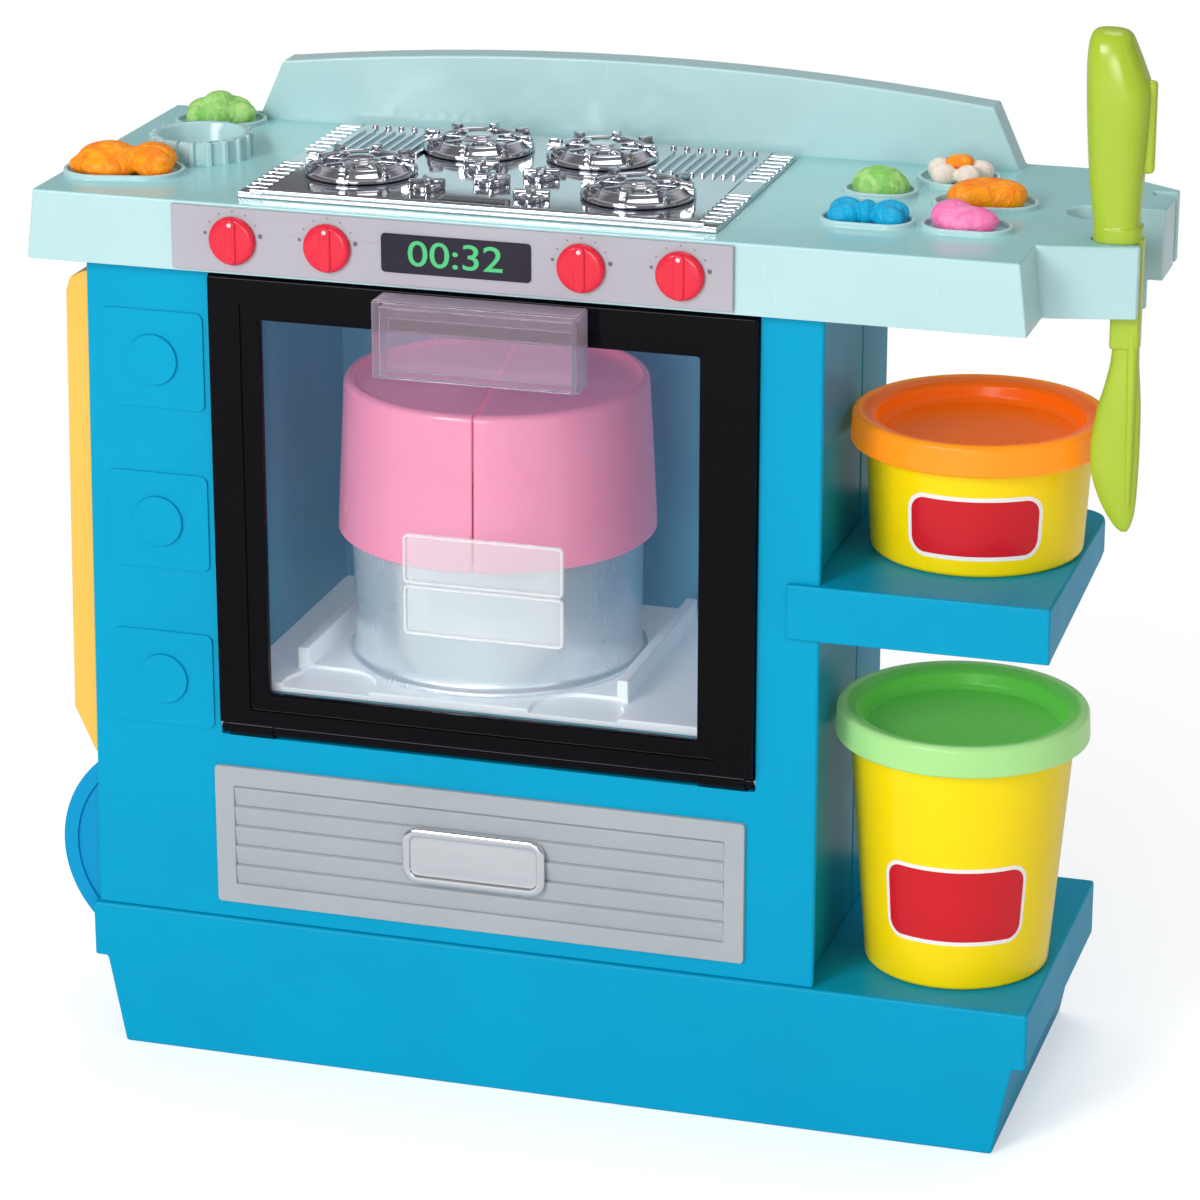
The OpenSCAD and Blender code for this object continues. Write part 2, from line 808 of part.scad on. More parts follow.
// Middles of the burners and of the little dials, as shares of the hob's width and depth
burner_at = [[0.184, 0.355], [0.355, 0.761], [0.624, 0.761], [0.784, 0.31]];
dial_at = [[0.416, 0.49], [0.555, 0.439], [0.359, 0.206], [0.588, 0.168], [0.473, 0.323]];

// A burner: dished ring, domed middle, carrying ring and upright pot stops
module burner() {
    difference() {
        cylinder(r1 = burner_r - 1, r2 = burner_r - 2.5, h = 2.2);
        translate([0, 0, 1.2]) cylinder(r = burner_r - 4, h = 2);
    }
    translate([0, 0, -eps]) cylinder(r1 = 6, r2 = 4.5, h = 3.4);
    translate([0, 0, 3.4 - eps]) cylinder(r = 3.2, h = 0.8);
    difference() {
        translate([0, 0, 2.2 - eps]) cylinder(r = burner_r - 2.5, h = 1.1);
        translate([0, 0, 1]) cylinder(r = burner_r - 4.2, h = 4);
    }
    for (a = [0:45:315])
        rotate([0, 0, a + 22.5]) {
            translate([burner_r - 4.6, -1, 0]) cube([4.6, 2, 4.4]);
            translate([4, -0.5, 2.4]) cube([burner_r - 8, 1, 1]);
        }
}

// A little control dial moulded in the hob's middle
module hob_dial() {
    cylinder(r = dial_r, h = 1.4);
    for (a = [0, 90])
        rotate([0, 0, a]) translate([-dial_bar / 2, -0.8, 0]) cube([dial_bar, 1.6, 2.6]);
}

// Slots in both end edges, in two groups: one from the front, one that ends at the ridges' middle
module end_combs() {
    for (i = [0:comb_n - 1], y = [comb_edge, hob_d - comb_n * comb_pitch - comb_edge + 1.3], s = [0, 1])
        translate([s == 0 ? -1 : hob_w - comb_w + 1, y + i * comb_pitch, hob_z - 0.8])
            cube([comb_w, comb_pitch / 2, 2]);
}

// Ridges behind and a row of buttons along the back edge
module hob_ridges() {
    for (i = [0:ridge_n - 1], s = [0, 1])
        translate([s == 0 ? ridge_in + i * ridge_pitch : hob_w - ridge_in - ridge_w - i * ridge_pitch,
            hob_d - ridge_l - ridge_in, hob_z - eps])
            cube([ridge_w, ridge_l, 0.7]);
    for (i = [0:button_n - 1], s = [0, 1])
        translate([s == 0 ? button_in + i * button_pitch : hob_w - button_in - i * button_pitch,
            hob_d - 3.4, hob_z - eps])
            cylinder(r = i == (s == 0 ? 0 : button_n - 1) ? 1.3 : 0.8, h = 1.1, $fn = 16);
}

module hob_plate() {
    color("silver") translate([hob_x0, hob_y0, 0]) {
        difference() {
            translate([0, 0, counter_z]) cube([hob_w, hob_d, hob_t]);
            end_combs();
        }
        translate([3, 0, hob_z - eps]) cube([hob_w - 6, 2.4, 0.9]);
        hob_ridges();
        for (b = burner_at)
            translate([b[0] * hob_w, b[1] * hob_d, hob_z - eps]) burner();
        for (d = dial_at)
            translate([d[0] * hob_w, d[1] * hob_d, hob_z - eps]) hob_dial();
        translate([hob_w * 0.41, comb_edge, hob_z - eps]) cube([hob_badge_w, 4, 1]);
    }
}

// The fascia

knob_x = [fascia_x0 + knob_edge, fascia_x0 + knob_edge + knob_pitch,
    fascia_x0 + fascia_w - knob_edge_right - knob_pitch, fascia_x0 + fascia_w - knob_edge_right];

module fascia_panel() {
    color("silver") difference() {
        span([fascia_x0, fascia_x0 + fascia_w], [fascia_y, apron_y], [fascia_z0, fascia_z1]);
        for (x = knob_x)
            rod_y(x, knob_z, spindle_r + run_fit, fascia_y - 1, apron_y + 1);
    }
}

module display_window() {
    color("indigo")
        translate([display_x0 + display_w / 2, fascia_y, knob_z + 0.1])
            rotate([90, 0, 0])
                linear_extrude(display_t) round_rect(display_w, display_h, 1);
}

module knob(x) {
    y0 = fascia_y - 0.1;
    grip_w = 3;
    color("crimson") {
        rod_y(x, knob_z, knob_r, y0 - knob_h + 0.9, y0);
        rod_y(x, knob_z, knob_r - 0.5, y0 - knob_h + 0.6, y0 - 0.5);
        translate([x, y0 - 0.5, knob_z])
            rotate([90, 0, 0])
                linear_extrude(knob_h - 0.5) stadium_z(2 * knob_r - 0.6, grip_w);
        rod_y(x, knob_z, spindle_r, y0 - eps, apron_y + wall + 1.2);
        rod_y(x, knob_z, spindle_r + 0.9, apron_y + wall + 0.2, apron_y + wall + 1.4);
    }
}

module stadium_z(l, w) {
    rotate(90) stadium(l, w);
}

module knob_far_left() { knob(knob_x[0]); }
module knob_left() { knob(knob_x[1]); }
module knob_right() { knob(knob_x[2]); }
module knob_far_right() { knob(knob_x[3]); }

// The vent

module plaque_place(y) {
    translate([vent_x0 + vent_w / 2 - 0.3, y, vent_z0 + vent_h / 2 + 0.6])
        rotate([90, 0, 0])
            children();
}

module vent_panel() {
    x1 = vent_x0 + vent_w;
    z1 = vent_z0 + vent_h;
    in_h = vent_h - 2 * vent_border;
    pitch = in_h / louvres;
    color("silver") {
        difference() {
            span([vent_x0, x1], [face_y - vent_t, face_y], [vent_z0, z1]);
            for (i = [0:louvres - 1])
                along_x(vent_x0 + vent_border, x1 - vent_border)
                    polygon([
                        [face_y - vent_t - 1, vent_z0 + vent_border + i * pitch],
                        [face_y - vent_t + louvre_depth, vent_z0 + vent_border + i * pitch],
                        [face_y - vent_t + 0.1, vent_z0 + vent_border + (i + 0.85) * pitch],
                        [face_y - vent_t + 0.1, vent_z0 + vent_border + (i + 1) * pitch + eps],
                        [face_y - vent_t - 1, vent_z0 + vent_border + (i + 1) * pitch + eps]]);
        }
        plaque_place(face_y - 0.2) linear_extrude(vent_t - 0.2) round_rect(plaque_w, plaque_h, 4);
    }
}

module vent_plaque() {
    color("silver") plaque_place(face_y - vent_t) {
        linear_extrude(0.8) round_rect(plaque_w, plaque_h, 4);
        linear_extrude(1.5)
            difference() {
                round_rect(plaque_w - 2, plaque_h - 2, 3.4);
                round_rect(plaque_w - 4.4, plaque_h - 4.4, 2.4);
            }
    }
}

// The oven

module oven_liner() {
    ox0 = liner_x0 - liner_t;
    ox1 = liner_x1 + liner_t;
    oz0 = floor_z - liner_t;
    oz1 = roof_z + liner_t;
    flange_y1 = liner_y0;
    color("steelblue") difference() {
        union() {
            span([ox0, ox1], [liner_y0 - eps, liner_y1 + liner_t], [oz0, oz1]);
            span([ox0 - flange_w, ox1 + flange_w], [flange_y1 - flange_t, flange_y1],
                [pin_z + boss_h / 2 + 0.3, oz1 + flange_w - 1]);
            for (x = [[ox0 - flange_w, door_x0 - 1], [door_x1 + 1, ox1 + flange_w]])
                span(x, [face_in_y, flange_y1 - flange_t + eps],
                    [pin_z + boss_h / 2 + 0.3, oz1 + flange_w - 1]);
        }
        span([liner_x0, liner_x1], [flange_y1 - flange_t - 2, liner_y1], [floor_z, roof_z]);
        translate([cake_x, cake_y, oz0 - 1]) cylinder(r = bush_r, h = liner_t + 2);
    }
}

module oven_tray() {
    x0 = liner_x0 + 0.1;
    x1 = liner_x1 - 0.1;
    y0 = liner_y0 - flange_t;
    groove = 1;
    color("white") difference() {
        union() {
            span([x0, x1], [y0, liner_y1 - 0.1], [floor_z, tray_z]);
            for (s = [-1, 1])
                span([cake_x + s * rail_x - rail_w / 2, cake_x + s * rail_x + rail_w / 2],
                    [y0 + 11, liner_y1 - 8], [tray_z - eps, tray_z + rail_h]);
        }
        translate([cake_x, cake_y, floor_z - 1]) cylinder(r = bush_r, h = tray_t + 2);
        for (s = [-1, 1])
            translate([cake_x + s * 33, y0 + 3, tray_z - groove]) {
                cylinder(r = 12, h = groove + 1);
                translate([s > 0 ? 0 : -10, -1.5, 0]) cube([10, 13.5, groove + 1]);
            }
    }
}

module post_bush() {
    color("white")
        translate([cake_x, cake_y, 0]) difference() {
            union() {
                translate([0, 0, floor_z - liner_t]) cylinder(r = bush_r, h = tray_z - floor_z + liner_t);
                translate([0, 0, floor_z - liner_t - bush_flange_t])
                    cylinder(r = bush_flange_r, h = bush_flange_t);
            }
            translate([0, 0, floor_z - 10]) cylinder(r = post_r + run_fit, h = 20);
        }
}

module cake_pan() {
    color("silver")
        translate([cake_x, cake_y, tray_z])
            rotate_extrude($fn = 96)
                polygon([
                    [pan_hole_r, 0], [pan_foot_r + pan_lip, 0], [pan_foot_r + pan_lip, 1.2],
                    [pan_foot_r, 2], [pan_r, pan_h], [pan_r - pan_t, pan_h],
                    [pan_foot_r - pan_t, pan_t], [pan_hole_r, pan_t]]);
}

// Upright half of the shape, on the side s of the cake's seam
module cake_half(s) {
    top_r = cake_r - cake_taper;
    ease = 1.6;
    translate([cake_x, cake_y, 0])
        rotate([0, 0, cake_turn])
            intersection() {
                rotate_extrude($fn = 96)
                    polygon([
                        [cake_r, cake_z],
                        [top_r, cake_top_z - ease],
                        [top_r - 0.5, cake_top_z - 0.4],
                        [top_r - ease, cake_top_z],
                        [top_r - cake_rim_w, cake_top_z],
                        [top_r - cake_rim_w, cake_top_z - cake_rim_h],
                        [0, cake_top_z - cake_rim_h],
                        [0, cake_deck_z],
                        [top_r - cake_t - 0.1, cake_deck_z],
                        [cake_r - cake_t, cake_z]]);
                translate([s > 0 ? seam_gap / 2 : -cake_r - 1, -cake_r - 1, cake_z - 1])
                    cube([cake_r + 1 - seam_gap / 2, 2 * cake_r + 2, cake_h + 2]);
            }
}

module cake_left_half() { color("hotpink") cake_half(-1); }
module cake_right_half() { color("hotpink") cake_half(1); }

// The lift drive

module side_wheel() {
    color("dodgerblue") difference() {
        rod_y(wheel_x, wheel_z, wheel_r, wheel_y0, wheel_y1);
        difference() {
            rod_y(wheel_x, wheel_z, wheel_r - 4, wheel_y0 - 1, wheel_y0 + 0.8);
            rod_y(wheel_x, wheel_z, wheel_r - 18, wheel_y0 - 2, wheel_y0 + 2);
        }
        for (a = [0:15:345])
            translate([wheel_x + (wheel_r + 1.2) * cos(a), 0, wheel_z + (wheel_r + 1.2) * sin(a)])
                rod_y(0, 0, 1.7, wheel_y0 + 1.2, wheel_y1 - 1.2);
        rod_y(wheel_x, wheel_z, shaft_r, wheel_y0 - 1, wheel_y1 + 1);
    }
}

module wheel_shaft() {
    color("gray")
        rod_y(wheel_x, wheel_z, shaft_r, face_in_y - shaft_sink + 0.2, bracket_y0 + bracket_t + 0.5);
}

module lift_pinion() {
    root_r = pitch_r - 1.25 * tooth_m;
    tip_r = pitch_r + tooth_m;
    root_half = tooth_w / 2 + tooth_lean * tooth_m;
    tip_half = tooth_w / 2 - tooth_lean * tooth_m;
    color("white") difference() {
        union() {
            rod_y(wheel_x, wheel_z, root_r + 0.05, gear_y0, gear_y1);
            rod_y(wheel_x, wheel_z, shaft_r + 1.6, wheel_y1 + 0.1, gear_y0 + eps);
            along_y(gear_y0, gear_y1)
                translate([wheel_x, wheel_z])
                    for (i = [0:pinion_teeth - 1])
                        rotate(i * 360 / pinion_teeth)
                            polygon([[root_r - 0.6, -root_half], [tip_r - 0.1, -tip_half],
                                [tip_r - 0.1, tip_half], [root_r - 0.6, root_half]]);
        }
        rod_y(wheel_x, wheel_z, shaft_r, wheel_y1 - 1, gear_y1 + 1);
    }
}

module gear_bracket() {
    foot_l = 12;
    color("white") difference() {
        union() {
            span([wheel_x - bracket_w / 2, wheel_x + bracket_w / 2], [bracket_y0, bracket_y0 + bracket_t],
                [base_h, wheel_z]);
            rod_y(wheel_x, wheel_z, bracket_w / 2, bracket_y0, bracket_y0 + bracket_t);
            span([wheel_x - bracket_w / 2, wheel_x + bracket_w / 2], [bracket_y0, bracket_y0 + foot_l],
                [base_h, base_h + bracket_t]);
        }
        rod_y(wheel_x, wheel_z, shaft_r + run_fit, bracket_y0 - 1, bracket_y0 + bracket_t + 1);
    }
}

module riser_carriage() {
    root_x = rack_x + 1.25 * tooth_m;
    run = sqrt(pow(cake_x - root_x - 1, 2) + pow(cake_y - (gear_y0 + gear_y1) / 2, 2));
    turn = atan2(cake_y - (gear_y0 + gear_y1) / 2, cake_x - root_x - 1);
    first = wheel_z + tooth_pitch / 2 - tooth_pitch * 2;
    color("white") difference() {
        union() {
            span([root_x - eps, root_x + rack_back_t], [gear_y0, gear_y1], [rack_z0, rack_z1]);
            along_y(gear_y0, gear_y1)
                for (i = [0:rack_teeth - 1])
                    translate([root_x, first + i * tooth_pitch])
                        polygon([[0.1, -tooth_w / 2 - tooth_lean * tooth_m],
                            [-2.15 * tooth_m, -tooth_w / 2 + tooth_lean * tooth_m],
                            [-2.15 * tooth_m, tooth_w / 2 - tooth_lean * tooth_m],
                            [0.1, tooth_w / 2 + tooth_lean * tooth_m]]);
            translate([root_x + 2, (gear_y0 + gear_y1) / 2, arm_z])
                rotate([0, 0, turn])
                    translate([0, -arm_w / 2, 0]) cube([run - 1, arm_w, arm_h]);
            translate([cake_x, cake_y, arm_z]) cylinder(r = socket_r, h = arm_h + 2);
        }
        translate([cake_x, cake_y, arm_z + socket_floor]) cylinder(r = post_r, h = arm_h + 4);
    }
}

module riser_post() {
    foot_z = arm_z + socket_floor;
    color("white") translate([cake_x, cake_y, 0]) {
        translate([0, 0, foot_z]) cylinder(r = post_r, h = cake_deck_z - platform_t - foot_z + eps);
        translate([0, 0, cake_deck_z - platform_t]) cylinder(r = platform_r, h = platform_t, $fn = 96);
    }
}

// The door

module door_frame() {
    step = 5;
    rebate = 3;
    // The leaf starts over the nose, clear of the cabinet's face when the door lies open
    leaf_z = pin_z + pin_y - face_y + seat_gap;
    color("black") difference() {
        union() {
            along_x(door_x0, door_x1)
                polygon([
                    [door_back_y, pin_z],
                    [door_back_y, door_z1],
                    [door_front_y + 0.6, door_z1],
                    [door_front_y, door_z1 - 0.6],
                    [door_front_y, leaf_z],
                    [pin_y - 1.4, leaf_z],
                    [pin_y - 1.4, pin_z]]);
            rod_x(pin_y, pin_z, pin_up, door_x0, door_x1);
            for (x = [door_x0 + lug_in, door_x1 - lug_in - lug_w])
                rod_x(pin_y, pin_z, lug_r, x, x + lug_w);
        }
        span([win_x0, win_x1], [door_front_y - 1, door_back_y + 1], [win_z0, win_z1]);
        span([win_x0 - step, win_x1 + step], [door_front_y - 1, door_front_y + 0.7],
            [win_z0 - step + 0.5, win_z1 + step - 0.5]);
        span([win_x0 - rebate, win_x1 + rebate], [door_back_y - pane_t - 0.1, door_back_y + 1],
            [win_z0 - rebate, win_z1 + rebate]);
        for (x = [[door_x0 - 1, door_x0 + lug_in + lug_w + 0.5], [door_x1 - lug_in - lug_w - 0.5, door_x1 + 1]])
            rod_x(pin_y, pin_z, pin_r + run_fit, x[0], x[1]);
    }
}

module hinge_pins() {
    reach = boss_w - 0.8;
    hold = lug_in + lug_w;
    color("gray") {
        rod_x(pin_y, pin_z, pin_r, door_x0 - reach, door_x0 + hold);
        rod_x(pin_y, pin_z, pin_r, door_x1 - hold, door_x1 + reach);
    }
}

module door_pane() {
    lap = 2.9;
    y1 = door_back_y - 0.1;
    y0 = y1 - pane_t;
    relief = 0.9;
    tag_w = 42;
    tag_h = 27;
    tag_x = win_x0 + 36;
    tag_z = win_z0 + 19.5;
    color("lightcyan", 0.4) {
        span([win_x0 - lap, win_x1 + lap], [y0, y1], [win_z0 - lap, win_z1 + lap]);
        difference() {
            span([tag_x, tag_x + tag_w], [y0 - relief, y0 + eps], [tag_z, tag_z + tag_h]);
            span([tag_x + 2, tag_x + tag_w - 2], [y0 - relief - 1, y0 - eps], [tag_z + 2, tag_z + tag_h / 2 - 1]);
            span([tag_x + 2, tag_x + tag_w - 2], [y0 - relief - 1, y0 - eps],
                [tag_z + tag_h / 2 + 1, tag_z + tag_h - 2]);
        }
    }
}

module door_handle() {
    x0 = door_x0 + 46.3;
    x1 = x0 + handle_w;
    z1 = door_z1 - 0.8;
    z0 = z1 - handle_h;
    y0 = door_front_y - handle_reach;
    t = 1.6;
    // The back plate lies on the frame's top bar, in the recess around the window
    back_y = door_front_y + 0.7;
    color("lavender", 0.5) {
        difference() {
            span([x0, x1], [y0, door_front_y - 0.2], [z0, z1]);
            span([x0 + t, x1 - t], [y0 + t, door_front_y - 0.2 - t], [z0 - 1, z1 - t]);
        }
        span([x0 + t, x1 - t], [door_front_y - 0.3, back_y], [win_z1 + 0.6, win_z1 + 4]);
    }
}

// Things that stand or hang on the oven

module side_board() {
    out = board_t + seat_gap;
    color("gold") {
        along_y(board_y0, board_y0 + board_w)
            polygon([
                [left_x(board_z0) - seat_gap, board_z0],
                [left_x(board_z1) - seat_gap, board_z1],
                [left_x(board_z1) - seat_gap - 1.2, board_z1],
                [left_x(board_z1) - out + 1.2, board_z1 - board_cut * 0.35],
                [left_x(board_z1) - out, board_z1 - board_cut],
                [left_x(board_z0) - out, board_z0 + board_bevel],
                [left_x(board_z0) - seat_gap - 1, board_z0]]);
        for (z = peg_z)
            span([left_x(z) - seat_gap - 1, cab_x0 + wall + 1.5], [peg_y, peg_y + peg_w], [z, z + peg_h]);
    }
}

module spoon_tool() {
    foot_z = counter_z + collar_h;
    top_z = foot_z + spoon_handle_h;
    tip_z = counter_z - spoon_drop;
    head_r = 0.68 * grip_r;
    waist_r = 0.85 * grip_r;
    axis_x = spoon_x - collar_in;
    color("yellowgreen") {
        // Handle, swelling and leaning to the left towards its head
        hull() {
            translate([axis_x - 0.6 * head_r, spoon_y, top_z - head_r]) sphere(head_r, $fn = 24);
            translate([axis_x - 0.07 * grip_r, spoon_y, top_z - 1.8 * grip_r]) sphere(grip_r, $fn = 24);
            translate([axis_x, spoon_y, foot_z + 2 * grip_r]) sphere(waist_r, $fn = 24);
        }
        hull() {
            translate([axis_x, spoon_y, foot_z + 2 * grip_r]) sphere(waist_r, $fn = 24);
            translate([axis_x, spoon_y, foot_z]) cylinder(r = collar_r - 0.2, h = 1, $fn = 24);
        }
        // Rib along the handle's right side
        span([axis_x, axis_x + grip_r + 0.9], [spoon_y - 1.4, spoon_y + 1.4],
            [foot_z + 1.6 * grip_r, top_z - 1.6 * grip_r]);
        translate([axis_x, spoon_y, counter_z]) cylinder(r = collar_r, h = collar_h);
        // Shaft through the slot
        span([spoon_x - spoon_shaft_w / 2, spoon_x + spoon_shaft_w / 2],
            [spoon_y - spoon_shaft_t / 2, spoon_y + spoon_shaft_t / 2],
            [counter_z - shaft_l, counter_z + 1]);
        span([spoon_x - spoon_shaft_w / 2 + 1, spoon_x + spoon_shaft_w / 2 - 1.2],
            [spoon_y - spoon_shaft_t / 3, spoon_y + spoon_shaft_t / 3],
            [tip_z + bowl_r, counter_z - shaft_l + 4]);
        // Bowl
        hull() {
            translate([spoon_x + 0.4 * bowl_r, spoon_y, tip_z + 1.6]) scale([1, 0.8, 1]) sphere(1.6, $fn = 24);
            translate([spoon_x + 0.25 * bowl_r, spoon_y, counter_z - shaft_l - 5])
                scale([1, 0.8, 1]) sphere(2, $fn = 24);
            translate([spoon_x - 0.17 * bowl_r, spoon_y, tip_z + bowl_l / 2 + 1])
                scale([1, 0.4, 1.5]) sphere(bowl_r, $fn = 24);
            translate([spoon_x - 0.05 * bowl_r, spoon_y, tip_z + bowl_l / 3])
                scale([1, 0.4, 1.2]) sphere(0.88 * bowl_r, $fn = 24);
        }
    }
}

// A tub up to its mouth; h is the height to the lid's lower edge
module tub(r0, h) {
    full = h + lid_h - lid_t - seat_gap;
    r1 = tub_mouth_r;
    rotate_extrude($fn = 96)
        polygon([[0, 0], [r0 - 0.8, 0], [r0, 0.8], [r1, h - 1], [r1, full],
            [r1 - tub_t, full], [r1 - tub_t, h - 1], [r0 - tub_t, tub_floor], [0, tub_floor]]);
}

// A lid: skirt, raised rim and sunken middle; its lower edge is at zero
module lid() {
    neck_r = tub_mouth_r - tub_t - 0.4;
    disc_z = 3;
    rotate_extrude($fn = 96)
        polygon([[0, disc_z], [neck_r, disc_z], [neck_r, lid_h - lid_t],
            [tub_mouth_r + 0.4, lid_h - lid_t], [tub_mouth_r + 0.5, 1.2], [lid_r - lid_t, 0],
            [lid_r - 0.3, 0], [lid_r, 0.4], [lid_r - 0.2, lid_h - 0.8], [lid_r - 1, lid_h],
            [neck_r + 0.6, lid_h], [neck_r - lid_t + 0.2, lid_h - 0.8],
            [neck_r - lid_t, disc_z + lid_t + 1], [neck_r - lid_t - 0.8, disc_z + lid_t],
            [0, disc_z + lid_t]]);
}

module tub_dough(r0, h) {
    r = min(r0, tub_mouth_r) - tub_t - seat_gap;
    translate([0, 0, tub_floor]) cylinder(r1 = r - 0.4, r2 = r, h = tub_fill * h);
}

module small_tub() {
    color("yellow") translate([tub_x, small_tub_y, small_tub_z]) tub(small_tub_r, small_tub_h);
}
module small_tub_lid() {
    color("darkorange") translate([tub_x, small_tub_y, small_tub_z + small_tub_h]) lid();
}
module small_tub_dough() {
    color("darkorange") translate([tub_x, small_tub_y, small_tub_z]) tub_dough(small_tub_r, small_tub_h);
}
module tall_tub() {
    color("yellow") translate([tub_x, tall_tub_y, tall_tub_z]) tub(tall_tub_r, tall_tub_h);
}
module tall_tub_lid() {
    color("limegreen") translate([tub_x, tall_tub_y, tall_tub_z + tall_tub_h]) lid();
}
module tall_tub_dough() {
    color("limegreen") translate([tub_x, tall_tub_y, tall_tub_z]) tub_dough(tall_tub_r, tall_tub_h);
}

// Dough shapes in the moulds

// Low dome over a mould's floor, as long and wide as the mould less its play
module dough_pad(m, h) {
    l = m[2] - 0.4;
    w = m[3] - 0.4;
    translate([m[0], m[1], counter_z])
        rotate([0, 0, m[4]])
            hull() {
                linear_extrude(rim_h * 0.9) stadium(l, w, $fn = 24);
                translate([0, 0, h - 1]) linear_extrude(1) stadium(l * 0.62, w * 0.5, $fn = 24);
                translate([0, 0, h * 0.7]) linear_extrude(0.1) stadium(l * 0.88, w * 0.82, $fn = 24);
            }
}

// Round cap of dough: radius at its foot and height over the worktop
module cap(x, y, w, top) {
    r = (w * w + top * top) / (2 * top);
    intersection() {
        translate([x, y, counter_z + top - r]) sphere(r);
        translate([x - r - 1, y - r - 1, counter_z]) cube([2 * r + 2, 2 * r + 2, top + 1]);
    }
}

// Children laid over the middle of a mould, turned with it
module in_mould(m) {
    translate([m[0], m[1], 0])
        rotate([0, 0, m[4]])
            children();
}

module croissant_dough() {
    m = moulds[0];
    color("orange") {
        dough_pad(m, 4);
        in_mould(m)
            for (i = [-2:2])
                cap(i * 0.16 * m[2], (0.32 * i * i - 0.8) * m[3] / 17, (0.35 - 0.03 * abs(i)) * m[3],
                    8 - 0.7 * abs(i));
    }
}

module swirl_dough() {
    m = moulds[2];
    color("lightgreen") {
        dough_pad(m, 4);
        in_mould(m) {
            for (i = [0:4])
                cap(0.2 * m[2] * cos(i * 72), 0.17 * m[3] * sin(i * 72), 0.3 * m[3], 6.4);
            cap(0, 0, 0.36 * m[3], 8.4);
        }
    }
}

module oval_dough() { color("lightgreen") dough_pad(moulds[3], 6.5); }

module bow_dough() {
    m = moulds[4];
    color("dodgerblue") {
        dough_pad(m, 3);
        in_mould(m) {
            for (s = [-1, 1])
                cap(s * 0.25 * m[2], 0, 0.45 * m[3], 6.6);
            cap(0, 0, 0.26 * m[3], 5.6);
        }
    }
}

module heart_dough() {
    m = moulds[5];
    color("violet") {
        dough_pad(m, 5);
        in_mould(m) cap(-0.18 * m[2], 0, 0.46 * m[3], 7);
    }
}

module bun_dough() { color("orange") dough_pad(moulds[6], 7); }

module flower_dough() {
    m = moulds[7];
    petal_r = 0.28 * m[2];
    color("oldlace") {
        translate([m[0], m[1], counter_z]) cylinder(r = m[2] / 2 - seat_gap, h = rim_h);
        in_mould(m)
            for (i = [0:4])
                cap(petal_r * cos(i * 72 + 18), petal_r * sin(i * 72 + 18), 0.19 * m[2], 5.4);
    }
}

module flower_centre_dough() {
    m = moulds[7];
    color("orange") translate([m[0], m[1], counter_z + 5.6])
        cylinder(r1 = 0.18 * m[2], r2 = 0.13 * m[2], h = 2.2);
}

base_shell();
base_cover();
base_screws();
front_casing();
rear_casing();
case_screws();
upper_shelf();
worktop();
hob_plate();
fascia_panel();
display_window();
knob_far_left();
knob_left();
knob_right();
knob_far_right();
vent_panel();
vent_plaque();
oven_liner();
oven_tray();
cake_pan();
post_bush();
riser_carriage();
riser_post();
cake_left_half();
cake_right_half();
side_wheel();
wheel_shaft();
lift_pinion();
gear_bracket();
door_frame();
door_pane();
door_handle();
hinge_pins();
side_board();
spoon_tool();
small_tub();
small_tub_lid();
small_tub_dough();
tall_tub();
tall_tub_lid();
tall_tub_dough();
croissant_dough();
swirl_dough();
oval_dough();
bow_dough();
heart_dough();
bun_dough();
flower_dough();
flower_centre_dough();
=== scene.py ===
# Toy oven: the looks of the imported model, in metres, in the model's own frame.
import json
import math

import bmesh
import bpy
from mathutils import Euler, Matrix, Vector
from mathutils.geometry import delaunay_2d_cdt


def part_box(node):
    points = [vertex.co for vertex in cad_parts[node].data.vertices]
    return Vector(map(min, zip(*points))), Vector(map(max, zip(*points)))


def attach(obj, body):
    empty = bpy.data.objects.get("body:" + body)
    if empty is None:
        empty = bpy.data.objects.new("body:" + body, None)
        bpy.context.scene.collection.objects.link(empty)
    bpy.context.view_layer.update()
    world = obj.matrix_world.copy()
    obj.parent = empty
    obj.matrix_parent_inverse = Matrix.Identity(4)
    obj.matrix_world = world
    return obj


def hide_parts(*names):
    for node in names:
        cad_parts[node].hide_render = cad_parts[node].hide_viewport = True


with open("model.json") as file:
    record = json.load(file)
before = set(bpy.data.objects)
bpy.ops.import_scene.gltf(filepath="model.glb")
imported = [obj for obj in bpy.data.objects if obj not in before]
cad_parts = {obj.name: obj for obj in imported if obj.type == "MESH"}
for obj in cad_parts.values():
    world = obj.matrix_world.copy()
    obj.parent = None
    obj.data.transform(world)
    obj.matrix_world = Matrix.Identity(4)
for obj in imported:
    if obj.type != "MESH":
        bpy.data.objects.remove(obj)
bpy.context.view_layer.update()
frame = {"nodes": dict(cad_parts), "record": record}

# Camera. It stands about 1.1 m off, a little to the right and above, where the
# photograph was taken from.

scene = bpy.context.scene
scene.view_settings.view_transform = "Standard"


def linked(name, data):
    """A new object in the scene."""
    item = bpy.data.objects.new(name, data)
    scene.collection.objects.link(item)
    return item


def aimed(item, place, target):
    """Stands an object at its place, with its view along -Z towards the target."""
    item.location = place
    item.rotation_euler = (Vector(target) - item.location).to_track_quat("-Z", "Y").to_euler()


lens = bpy.data.cameras.new("photo_lens")
lens.sensor_width = 36.0
lens.lens = 130.92
lens.clip_start = 0.02
scene.camera = linked("photo_camera", lens)
aimed(scene.camera, (0.30675, -1.01945, 0.49712), (-0.000885, 0.006, 0.11871))

# Studio. A pale floor, one large soft lamp from the front left, a fill lamp low in front,
# weak ones from the right and above, and an even room light; what shines sees a banded room.


def filled(tree, socket, value):
    """Links an input to an output, or to a node's first output, or else gives it a value."""
    if isinstance(value, bpy.types.Node):
        value = value.outputs[0]
    if isinstance(value, bpy.types.NodeSocket):
        tree.links.new(value, socket)
    else:
        socket.default_value = value


